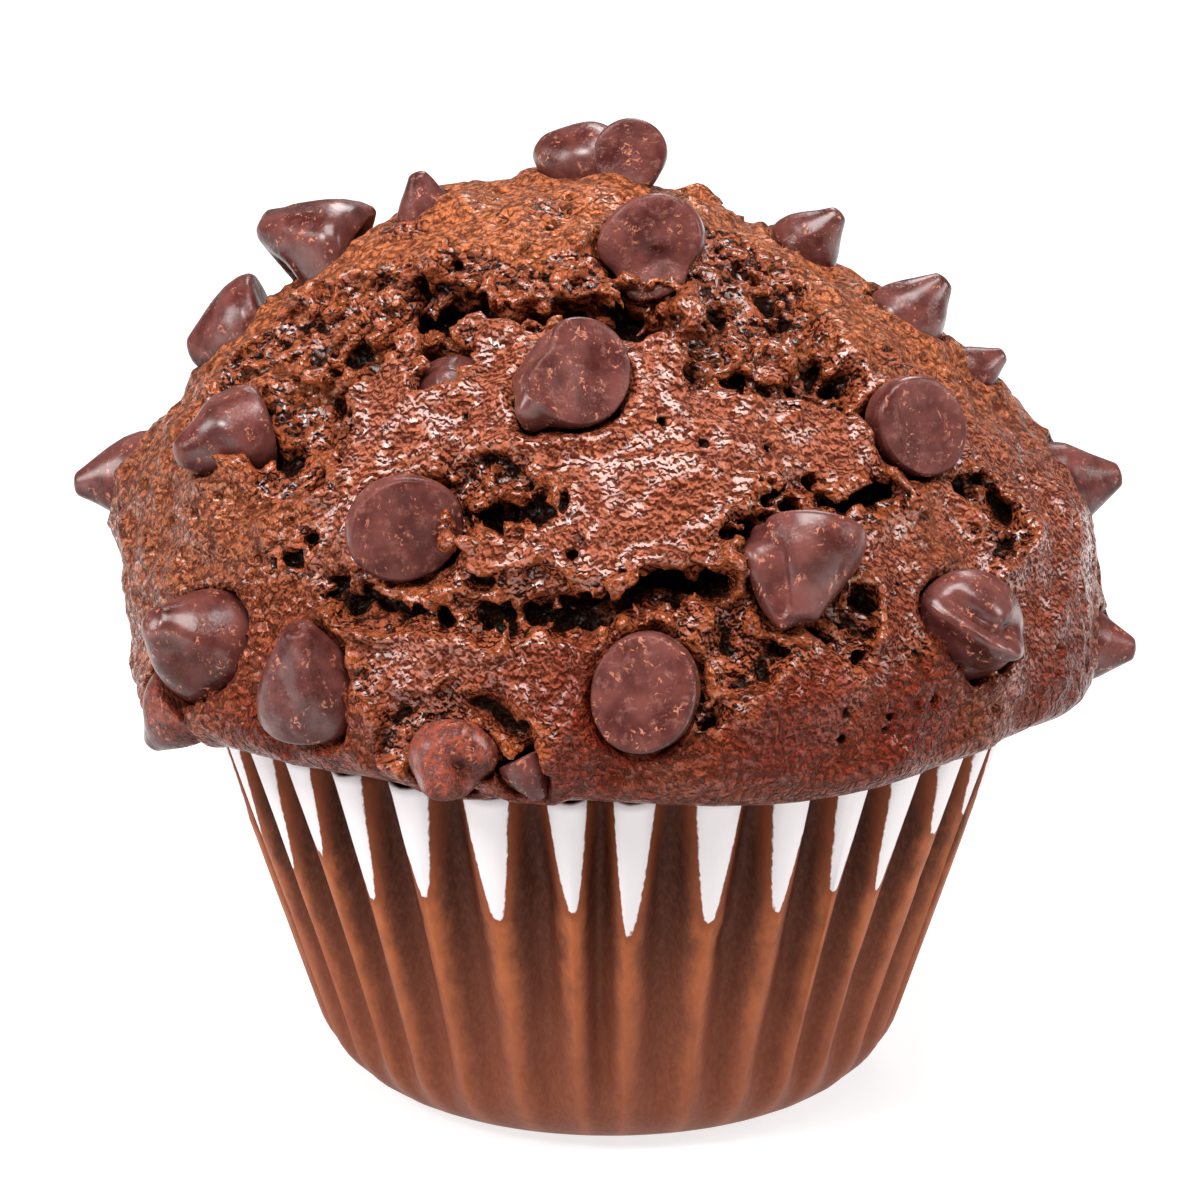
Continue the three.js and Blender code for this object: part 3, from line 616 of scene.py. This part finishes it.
def lumps(size, seed, stretch=(1, 1, 1)):
    """Smooth random unevenness over the whole grid: lumps of a size in millimetres, deviation 1."""
    spacing = [size / 2 * s for s in stretch]
    counts = [int((line[-1] - line[0]) / step) + 5 for line, step in zip(lines, spacing)]
    field = np.random.default_rng(seed).normal(scale=3, size=counts).astype(np.float32)
    for axis, (line, step) in enumerate(zip(lines, spacing)):
        first, f = np.divmod((line - line[0]) / step, 1)
        taps = ((1 - f) ** 3 / 6, (3 * f ** 3 - 6 * f ** 2 + 4) / 6,
                (3 * (f + f ** 2 - f ** 3) + 1) / 6, f ** 3 / 6)
        across = [1, 1, 1]
        across[axis] = len(line)
        field = sum(np.take(field, first.astype(int) + tap, axis) * share.reshape(across).astype(np.float32)
                    for tap, share in enumerate(taps))
    return field


def soft_spot(azimuth, latitude, breadth, where=(slice(None),) * 3):
    """1 at a point of the crust, fading out over a breadth in every direction."""
    centre, _ = dome_point(azimuth, latitude)
    x, y, z = (np.exp(-((line[w] - c) / breadth) ** 2) for line, w, c in zip(lines, where, centre))
    return x[:, None, None] * y[None, :, None] * z[None, None, :]


# The smooth dome with its swellings.
solid = np.empty(shape, np.float32)
for k, z in enumerate(gz):
    above = z > DOME_LEVEL
    power = RISE_POWER if above else DROP_POWER
    rise = DOME_RISE if above else DOME_DROP
    lift = abs(z - DOME_LEVEL) / rise
    lean = DOME_LEAN * min(lift, 1) ** LEAN_POWER if above else 0
    reach = np.hypot(gx[:, None] - lean, gy[None, :]) / DOME_RADIUS
    level = np.maximum(reach ** power + lift ** power, 1e-6)
    steepness = np.hypot(reach ** (power - 1) / DOME_RADIUS, lift ** (power - 1) / rise)
    slope = level ** (1 / power - 1) * steepness
    solid[:, :, k] = (level ** (1 / power) - 1) / np.maximum(slope, 1e-3)
for azimuth, latitude, rise, breadth in SWELLINGS:
    solid -= rise * soft_spot(azimuth, latitude, breadth)
smooth = solid.copy()
fade = smoothstep(35.2, 40, gz)[None, None, :].astype(np.float32)
solid -= (0.36 * lumps(9, 1) + 0.2 * lumps(4.2, 2) + 0.1 * lumps(2.6, 3)) * fade


def block(centre, reach):
    """The part of the grid within a reach of a point, as slices."""
    ends = [((c - reach - line[0]) / CELL, (c + reach - line[0]) / CELL) for c, line in zip(centre, lines)]
    return tuple(slice(max(0, int(low)), max(0, int(high) + 2)) for low, high in ends)


def ball_distance(centre, where):
    x, y, z = (line[w] - c for line, w, c in zip(lines, where, centre))
    return np.sqrt((x * x)[:, None, None] + (y * y)[None, :, None] + (z * z)[None, None, :])


def course(line, spacing=0.8):
    """Points along a line on the crust, with the directions out of it, along it and uphill across it."""
    line = np.array(line, float)
    ends, _ = dome_point(line[:, 0], line[:, 1])
    length = np.concatenate([[0], np.cumsum(np.linalg.norm(np.diff(ends, axis=0), axis=1))])
    steps = np.linspace(0, length[-1], max(3, int(length[-1] / spacing)))
    route, outward = dome_point(np.interp(steps, length, line[:, 0]), np.interp(steps, length, line[:, 1]))
    swell = np.zeros(len(steps))
    for azimuth, latitude, rise, breadth in SWELLINGS:
        centre, _ = dome_point(azimuth, latitude)
        swell += rise * np.exp(-(np.linalg.norm(route - centre, axis=1) / breadth) ** 2)
    route = route + outward * swell[:, None]
    along = np.gradient(route, axis=0)
    along /= np.linalg.norm(along, axis=1, keepdims=True)
    side = np.cross(along, outward)
    return route, outward, along, side * (np.sign(side[:, 2].sum()) or 1)


def beside(route, outward, along, side, margin, within):
    """For each grid point near a course: its place across it, below the crust, past its ends, and where."""
    where = tuple(slice(max(0, int((low - line[0]) / CELL)), max(0, int((high - line[0]) / CELL)))
                  for low, high, line in zip(route.min(0) - margin, route.max(0) + margin, lines))
    index = np.nonzero(np.abs(smooth[where]) < within)
    spots = np.stack([line[w][i] for line, w, i in zip(lines, where, index)], 1)
    found = np.empty((4, len(spots)), np.float32)
    for first in range(0, len(spots), 100000):
        part = spots[first:first + 100000]
        gap = (route ** 2).sum(1).astype(np.float32) - 2 * part @ route.T.astype(np.float32)
        best = gap.argmin(1)
        offset = part - route[best]
        for row, way in enumerate((side, -outward, along)):
            found[row, first:first + 100000] = (offset * way[best]).sum(1)
        found[3, first:first + 100000] = best
    return where, index, found[0], found[1], np.abs(found[2]), found[3].astype(int)


for line, width, lift in behind(FOLDS):
    way = course(line)
    where, index, across, _, beyond, at = beside(*way, width * 2 + 2, 5)
    taper = np.sin(math.pi * np.linspace(0.08, 0.92, len(way[0]))) ** 0.5
    near = np.exp(-(across / width) ** 2 - np.clip(beyond / width, 0, None) ** 2) * taper[at]
    solid[where][index] -= lift * near

# Tears are wedges along their lines with ragged walls and raised lips. Burst bubbles roughen them.
torn = np.full(shape, 9, np.float32)
ragged = [0.5 * lumps(5, 11 + i) + 0.34 * lumps(2.2, 14 + i) for i in range(2)]
random = np.random.default_rng(3)
bubbles = []


def tear(line, width, depth, undercut, end, wall_slope, ragged_by, bubble_count, bubble_sizes):
    """Cuts a tear into torn, narrowed at its ends to a share of its width, and lists its bubbles."""
    way = course(line)
    route, outward, _, side = way
    where, index, across, deep, beyond, at = beside(*way, width + 4, depth + 4)
    across += ragged[0][where][index] * ragged_by
    deep += ragged[1][where][index] * ragged_by
    taper = end + (1 - end) * np.sin(math.pi * np.linspace(0, 1, len(route))) ** 0.6
    uneven = 1 + 0.25 * np.sin(np.linspace(0, len(route) / 3, len(route)) + random.uniform(0, 6.28))
    half, bottom = width / 2 * taper * uneven, depth * taper
    share = np.clip(deep / bottom[at], 0, 1)
    wall = half[at] * (1 - wall_slope * share) + 0.35 * np.clip(-deep, 0, 3)
    wedge = np.maximum(np.abs(across - undercut * taper[at] * share) - wall, (deep - bottom[at]) * 0.8)
    wedge = np.maximum(wedge, beyond - half[at] * 0.6)
    torn[where][index] = np.minimum(torn[where][index], wedge)
    for _ in range(int(len(route) * bubble_count)):
        i = random.integers(len(route))
        down = random.uniform(-0.15, 1.05) * bottom[i]
        shift = random.uniform(-1.1, 1.1) * half[i] * (1 - wall_slope * max(down, 0) / bottom[i])
        shift += undercut * max(down, 0) / bottom[i]
        bubbles.append((route[i] + side[i] * shift - outward[i] * down, random.uniform(*bubble_sizes)))


for line, width, depth, undercut in behind(TEARS):
    tear(line, width, depth, undercut, 0.3, 0.5, 1, (width + depth) * 0.9, (0.35, 1.25))
for line, width, depth, undercut in behind(BARE_PATCHES):
    tear(line, width, depth, undercut, 0.5, 0.1, 1.1, width * 1.6, (0.3, 0.8))
lip = 0.8 * np.exp(-((torn - 0.8) / 1.0) ** 2)
solid -= lip * (0.5 + 0.6 * lumps(4, 30)) * fade
for line, width, depth, undercut in behind(HOLES):
    tear(line, width, depth, undercut, 0.5, 0.35, 0.5, 0, (0, 0))
solid = np.maximum(solid, -torn)
for centre, size in bubbles:
    where = block(centre, size + 0.5)
    if min(w.stop - w.start for w in where) > 1:
        hole = np.where(torn[where] < 1.1, size - ball_distance(centre, where), -9)
        solid[where] = np.maximum(solid[where], hole)

# Fine unevenness, rougher in the tears, and small pits where steam came out of the crust.
rough = 1 - smoothstep(-0.3, 1.2, torn)
solid -= (0.08 * lumps(1.8, 40) + 0.06 * lumps(1.05, 41)) * (1 + 2.2 * rough) * fade
for _ in range(STEAM_PITS):
    azimuth, latitude = random.uniform(0, 360), math.degrees(math.asin(random.uniform(0.02, 1) ** 1.2))
    spot, _ = dome_point(azimuth, latitude)
    size = random.uniform(0.28, 0.6)
    where = block(spot, 3)
    near = np.argmin(np.abs(solid[where]) + ball_distance(spot, where) * 0.5)
    i, j, k = np.unravel_index(near, solid[where].shape)
    spot = (gx[where[0]][i], gy[where[1]][j], gz[where[2]][k])
    where = block(spot, 1.5)
    solid[where] = np.maximum(solid[where], size - ball_distance(spot, where))

# The crust closed round the chips, and shrank back from them a little as it cooled. Nothing lies on
# those at the crown and the upper left, so the room in front of their feet is kept free as well.
BARE_CHIPS = ("chip_01", "chip_02", "chip_03", "chip_04", "chip_05")
to_chip = np.full(shape, 3, np.float32)
for name, points in chip_points.items():
    points = points[::2]
    if name in BARE_CHIPS:
        in_front = [points[::2] - chip_axes[name] * ahead for ahead in (0.7, 1.4, 2.1, 2.8)]
        points = np.concatenate([points, *in_front])
    for spot in points:
        where = block(spot, 1.8)
        to_chip[where] = np.minimum(to_chip[where], ball_distance(spot, where))
solid -= 0.5 * np.exp(-((to_chip - 1.1) / 0.7) ** 2) * (smooth > -2)
solid = np.maximum(solid, CHIP_GAP + 0.12 * lumps(1.5, 50) - to_chip)

# The plug goes down into the case, and the field is closed at its lower end.
reach = np.hypot(gx[:, None], gy[None, :])[:, :, None]
plug_radius = FOOT_RADIUS + gz * (RIM_RADIUS - FOOT_RADIUS) / CASE_HEIGHT - PLUG_GAP
solid = np.minimum(solid, np.maximum(reach - plug_radius[None, None, :], gz[None, None, :] - PLUG_TOP))
solid[:, :, 0] = np.maximum(solid[:, :, 0], 0.2)


def without_pinches(field):
    """The same field, filled in where two walls would meet only along an edge or at a point."""
    field = field.copy()
    found = True
    while found:
        found = False
        for spans in ((0, 1, 1), (1, 0, 1), (1, 1, 0), (1, 1, 1)):
            corners = [field[tuple(slice(c, c - s or None) for c, s in zip(corner, spans))]
                       for corner in np.ndindex(*(s + 1 for s in spans))]
            inside = [corner < 0 for corner in corners]
            opposite = list(zip(inside, inside[::-1]))[:len(inside) // 2]
            total = sum(corner.astype(np.uint8) for corner in inside)
            both_in = np.logical_or.reduce([one & other for one, other in opposite])
            both_out = ~np.logical_and.reduce([one | other for one, other in opposite])
            pinched = (total == 2) & both_in | (total == len(inside) - 2) & both_out
            if pinched.any():
                found = True
                for corner in corners:
                    corner[pinched] = np.minimum(corner[pinched], -0.02)
    return field


def surface_of(field):
    """Closed mesh of a field's zero surface: one point in each cell it crosses, joined by quads."""
    inside = field < 0
    count = sum(inside[i:i - 1 or None, j:j - 1 or None, k:k - 1 or None].astype(np.uint8)
                for i in (0, 1) for j in (0, 1) for k in (0, 1))
    cells = np.stack(np.nonzero((count > 0) & (count < 8)), 1)
    total = np.zeros((len(cells), 3))
    crossings = np.zeros(len(cells))
    number = np.full(count.shape, -1, np.int32)
    number[tuple(cells.T)] = np.arange(len(cells))
    quads = []
    for axis in range(3):
        b, c = (axis + 1) % 3, (axis + 2) % 3
        ends = np.arange(3) == axis
        for p in (0, 1):
            for q in (0, 1):
                start = cells + [p if a == b else q if a == c else 0 for a in range(3)]
                low, high = field[tuple(start.T)], field[tuple((start + ends).T)]
                cross = (low < 0) != (high < 0)
                share = np.where(cross, low / np.where(cross, low - high, 1), 0)
                total += (start + share[:, None] * ends) * cross[:, None]
                crossings += cross
        lower = inside.take(range(field.shape[axis] - 1), axis)
        edges = np.stack(np.nonzero(lower != inside.take(range(1, field.shape[axis]), axis)), 1)
        edges = edges[(edges[:, b] > 0) & (edges[:, c] > 0) & (edges[:, b] < field.shape[b] - 1)
                      & (edges[:, c] < field.shape[c] - 1)]
        ring = np.stack([number[tuple((edges - [p if a == b else q if a == c else 0 for a in range(3)]).T)]
                         for p, q in ((0, 0), (1, 0), (1, 1), (0, 1))], 1)
        quads.append(np.where(lower[tuple(edges.T)][:, None], ring, ring[:, ::-1]))
    spots = total / crossings[:, None] * CELL + [line[0] for line in lines]
    return spots, np.concatenate(quads)


def largest_piece(spots, quads):
    """Only the cake itself, without crumbs that the tears set free or bubbles closed inside it."""
    label = np.arange(len(spots))
    before = None
    while before is None or (label != before).any():
        before = label.copy()
        lowest = label[quads].min(1)
        for corner in range(4):
            np.minimum.at(label, quads[:, corner], lowest)
        label = label[label]
    names, sizes = np.unique(label, return_counts=True)
    keep = label == names[sizes.argmax()]
    new = np.cumsum(keep) - 1
    return spots[keep], new[quads[keep[quads[:, 0]]]]


solid = without_pinches(solid)
spots, quads = largest_piece(*surface_of(solid))
mesh = bpy.data.meshes.new("cake_crust")
mesh.from_pydata((spots * MM).tolist(), [], quads.tolist())
cake = bpy.data.objects.new("cake_crust", mesh)
scene.collection.objects.link(cake)
apply_modifier(cake, "DECIMATE", ratio=min(1, CRUST_TRIANGLES / (2 * len(quads))))
cake.data.shade_smooth()
# The plug reaches down to the floor of the case.
deselect()
cake.select_set(True)
bpy.context.view_layer.objects.active = cake
bpy.ops.object.mode_set(mode="EDIT")
bpy.ops.mesh.select_mode(type="FACE")
bpy.ops.mesh.select_all(action="DESELECT")
bpy.ops.object.mode_set(mode="OBJECT")
for face in cake.data.polygons:
    face.select = face.center.z < (PLUG_FROM + 0.4) * MM and face.normal.z < -0.9
bpy.ops.object.mode_set(mode="EDIT")
before = PLUG_RADII[0][0], PLUG_FROM
for radius, level in PLUG_RADII[1:]:
    bpy.ops.mesh.extrude_region_move(TRANSFORM_OT_translate={"value": (0, 0, (level - before[1]) * MM)})
    widening = radius / before[0]
    bpy.ops.transform.resize(value=(widening, widening, 1), center_override=(0, 0, level * MM))
    before = radius, level
bpy.ops.object.mode_set(mode="OBJECT")


def sample(field, points):
    """Values of a field at the grid points nearest to points in millimetres."""
    index = [np.clip(np.rint((points[:, i] - line[0]) / CELL).astype(int), 0, len(line) - 1)
             for i, line in enumerate(lines)]
    return field[tuple(index)]


def blurred(field, reach):
    """Mean over a cube that reaches so many cells each way."""
    for axis in range(3):
        padded = np.pad(field, [(reach + 1, reach) if a == axis else (0, 0) for a in range(3)], mode="edge")
        total = np.cumsum(padded, axis=axis, dtype=np.float64)
        size = field.shape[axis]
        head = np.take(total, np.arange(2 * reach + 1, 2 * reach + 1 + size), axis=axis)
        tail = np.take(total, np.arange(0, size), axis=axis)
        field = ((head - tail) / (2 * reach + 1)).astype(np.float32)
    return field


def zones(places, points):
    """Share of a zone at each point, 1 at the middle of its places."""
    share = np.zeros(len(points))
    for azimuth, latitude, breadth in places:
        centre, _ = dome_point(azimuth, latitude)
        share = np.maximum(share, np.exp(-(np.linalg.norm(points - centre, axis=1) / breadth) ** 2))
    return share


# How deep in a hollow each point lies and how far the crust has sunk. The material paints hollows and
# sunken crust very dark as painted shade, and thin convex edges of crumb orange as painted light shining
# through them.
filled = (solid < 0).astype(np.float32)
spots = points_of(cake.data)
store(cake.data, "torn", sample(1 - smoothstep(0.25, 1.1, torn), spots))
store(cake.data, "hollow", sample(blurred(filled, 3), spots))
store(cake.data, "cave", sample(blurred(filled, 7), spots))
store(cake.data, "sunk", sample(smoothstep(1.2, 5, -smooth), spots))
store(cake.data, "crown", smoothstep(52, 72, spots[:, 2]))
store(cake.data, "shiny", zones(SHINY, spots))
store(cake.data, "dark", zones(DARK, spots))
# The dome below its widest ring, where it faces down over the case: painted shade.
store(cake.data, "underside_shade", 1 - smoothstep(35.5, 39.5, spots[:, 2]))

crumb = Recipe("chocolate_cake")
torn_here = crumb.attribute("torn")
hollow = crumb.attribute("hollow")
sunk = crumb.attribute("sunk")
shiny = crumb.attribute("shiny")
dark = crumb.attribute("dark")
crown = crumb.attribute("crown")
underside_shade = crumb.attribute("underside_shade")
broad = crumb.noise(8, 2)
patch = crumb.noise(2.4, 3)
grain = crumb.noise(0.3, 1, roughness=0.6)
crumbs = crumb.noise(0.85, 2, roughness=0.75)
# Little curled ridges of sugar crust with dark cracks between them, on coarser grains. Each is compared
# with itself a little higher up, which tells its upper side from its lower one: upper sides are painted
# lighter as painted light, lower ones darker as painted shade.
uphill = crumb.moved(crumb.place, (0.03 * MM, 0.07 * MM, 0.12 * MM))
worms = crumb.noise(0.46, 0.6, curl=0.6)
worms_lit = (worms - crumb.noise(0.46, 0.6, uphill, curl=0.6)).between(-0.10, 0.12)
drift = crumb.drift(0.8, 1.2)
grains = crumb.cells(0.8, crumb.moved(crumb.place, drift))
grains_lit = (crumb.cells(0.8, crumb.moved(uphill, drift)) - grains).between(-0.13, 0.13)
ridges = worms.between(0.46, 0.58)
cracks = worms.between(0.46, 0.36)
crevices = grains.between(0.46, 0.70)
coarse = crumb.noise(1.3, 2, roughness=0.65)
dimples = coarse.between(0.48, 0.36)
sandy_grain_and_sparkle = crumb.noise(0.2, 1).between(0.50, 0.66)
pores = crumb.cells(1.15).between(0.22, 0.11) * broad.between(0.35, 0.6)
pits = crumb.cells(0.85).between(0.28, 0.14)
glaze = (shiny * 1.3 + (broad - 0.5) * 0.9 + (patch - 0.5) * 0.5).between(0.15, 0.8)
# lit is painted light on the upper sides of ridges and grains and painted shade on their lower sides; it
# lightens and darkens the crust, the dark crust and the torn crumb, and places the coat's gloss.
lit = worms_lit * (glaze * 0.45 + 0.25) + grains_lit * (0.75 - glaze * 0.45)
tone = (patch * 0.3 + coarse * 0.3 + lit * 0.4).between(0.32, 0.66)
side_crust = crumb.mix(tone, (0.085, 0.017, 0.006), (0.31, 0.084, 0.035))
cap_crust = crumb.mix(tone, (0.16, 0.036, 0.011), (0.52, 0.143, 0.048))
# Light dots on the dull crust: a sandy grain of the crust, and painted sparkle.
dull_crust = crumb.mix(sandy_grain_and_sparkle * 0.6, crumb.mix(crown, side_crust, cap_crust), (0.50, 0.18, 0.085))
shiny_crust = crumb.mix(tone, (0.10, 0.018, 0.007), (0.44, 0.122, 0.060))
crust = crumb.mix(glaze, dull_crust, shiny_crust)
dark_crust = crumb.mix(lit, (0.022, 0.001, 0.0004), (0.17, 0.009, 0.001))
crust = crumb.mix(dark * 0.95, crust, dark_crust)
# Painted shade: the downward-facing part of the dome is painted darker.
crust = crumb.mix(underside_shade, crust, crumb.mix(tone, (0.055, 0.011, 0.006), (0.15, 0.038, 0.023)))
# Painted shade: the cracks between the ridges, the crevices between the grains and the dimples are painted
# dark, and small pores very dark.
crust = crumb.mix(cracks * (0.3 + glaze * 0.45), crust, (0.060, 0.008, 0.003))
crust = crumb.mix(crevices * (0.6 - glaze * 0.3), crust, (0.055, 0.008, 0.003))
crust = crumb.mix(dimples * (0.4 - glaze * 0.2), crust, (0.065, 0.010, 0.004))
crust = crumb.mix(pores * 0.9, crust, (0.02, 0.003, 0.001))
# Colour of the torn crumb: its own moist tone, with painted light and painted shade from lit.
moist_crumb_lit_and_shaded = (crumbs * 0.5 + lit * 0.5).between(0.34, 0.64)
moist_crumb_lit_and_shaded = crumb.mix(moist_crumb_lit_and_shaded, (0.020, 0.003, 0.0015), (0.33, 0.078, 0.031))
# Painted light: thin convex edges of crumb are painted lighter orange, as light shining through them.
moist_crumb_lit_and_shaded = crumb.mix(hollow.between(0.44, 0.30) * 0.5, moist_crumb_lit_and_shaded, (0.38, 0.085, 0.024))
# Painted shade: small pits in the crumb are painted very dark.
moist_crumb_lit_and_shaded = crumb.mix(pits * 0.9, moist_crumb_lit_and_shaded, (0.006, 0.001, 0.0006))
colour = crumb.mix(torn_here, crust, moist_crumb_lit_and_shaded)
# Painted shade: deep hollows and sunken crust are painted very dark.
hole_shade = hollow.between(0.58, 0.76) * 0.6 + crumb.attribute("cave").between(0.56, 0.72) + sunk * 0.45
hole_shade = hole_shade.between(0.1, 0.9)
colour = crumb.mix(hole_shade, colour, (0.003, 0.0008, 0.0005))
height = ridges * 0.14 - grains * 0.38 + grain * 0.2 + coarse * 0.3 + crumbs * torn_here * 0.4
polish = worms.between(0.34, 0.48) * worms_lit.between(0.08, 0.70) * (1 - dark * 0.8)
sparkle = grains_lit.between(0.66, 0.90) * grain.between(0.48, 0.56) * (1 - dark * 0.5)
film = polish * (glaze * 1.2 + torn_here * 0.7).between(0, 1)
film = film + sparkle * (0.8 + torn_here * 0.3 - glaze * 0.4)
quiet = (1 - hole_shade * 0.8) * (1 - underside_shade * 0.8)
crumb.finish(cake, "cake", Base_Color=colour, Specular_IOR_Level=0.2, Specular_Tint=(1, 0.38, 0.22),
             Coat_Roughness=0.22, Coat_IOR=1.65, Coat_Weight=(film * quiet).between(0, 1),
             Roughness=0.34 - glaze * 0.08 - torn_here * 0.12 + hole_shade * 0.3 - dark * 0.08,
             Normal=crumb.bump(height))
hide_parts("cake")
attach(cake, "root")

# ---- Setting ---------------------------------------------------------
# A white table in a tent of broad soft lights, above and at both sides, seen from a little above.
deselect()
bpy.ops.mesh.primitive_plane_add(size=8, location=(0, 0, -0.0002))
table = bpy.context.object
table.name = "white_table"
white = bpy.data.materials.new("white_table")
white.use_nodes = True
for name, value in {"Base Color": (0.4, 0.4, 0.4, 1), "Roughness": 0.9, "Emission Color": (1, 1, 1, 1),
                    "Emission Strength": 0.76}.items():
    white.node_tree.nodes["Principled BSDF"].inputs[name].default_value = value
table.data.materials.append(white)

sky = bpy.data.worlds.new("studio")
scene.world = sky
sky.use_nodes = True
sky.node_tree.nodes["Background"].inputs["Color"].default_value = (1, 1, 1, 1)
sky.node_tree.nodes["Background"].inputs["Strength"].default_value = 0.16

MIDDLE = Vector((0, 0, 0.045))
# Name, place and side of each light in metres, and its power in watts.
for name, place, size, power in (
        ("top_light", (0.0, -0.30, 0.85), 0.6, 11.3),
        ("key_light", (-0.5, -0.55, 0.6), 0.2, 4),
        ("left_light", (-0.85, -0.2, 0.4), 0.4, 4),
        ("right_light", (0.85, -0.15, 0.4), 0.4, 4),
        ("back_light", (0.1, 0.7, 0.75), 0.4, 3.5)):
    bpy.ops.object.light_add(type="AREA", location=place)
    lamp = bpy.context.object
    lamp.name = name
    lamp.data.size = size
    lamp.data.energy = power
    lamp.rotation_euler = (MIDDLE - Vector(place)).to_track_quat("-Z", "Y").to_euler()

TARGET = Vector((-0.8, 0, 42)) * MM
DISTANCE = 480 * MM
TILT = math.radians(15.5)
bpy.ops.object.camera_add(
    location=TARGET + Vector((0, -DISTANCE * math.cos(TILT), DISTANCE * math.sin(TILT))),
    rotation=(math.pi / 2 - TILT, 0, 0))
camera = bpy.context.object
camera.data.lens = 168
camera.data.sensor_width = 36
scene.camera = camera
scene.view_settings.view_transform = "Standard"
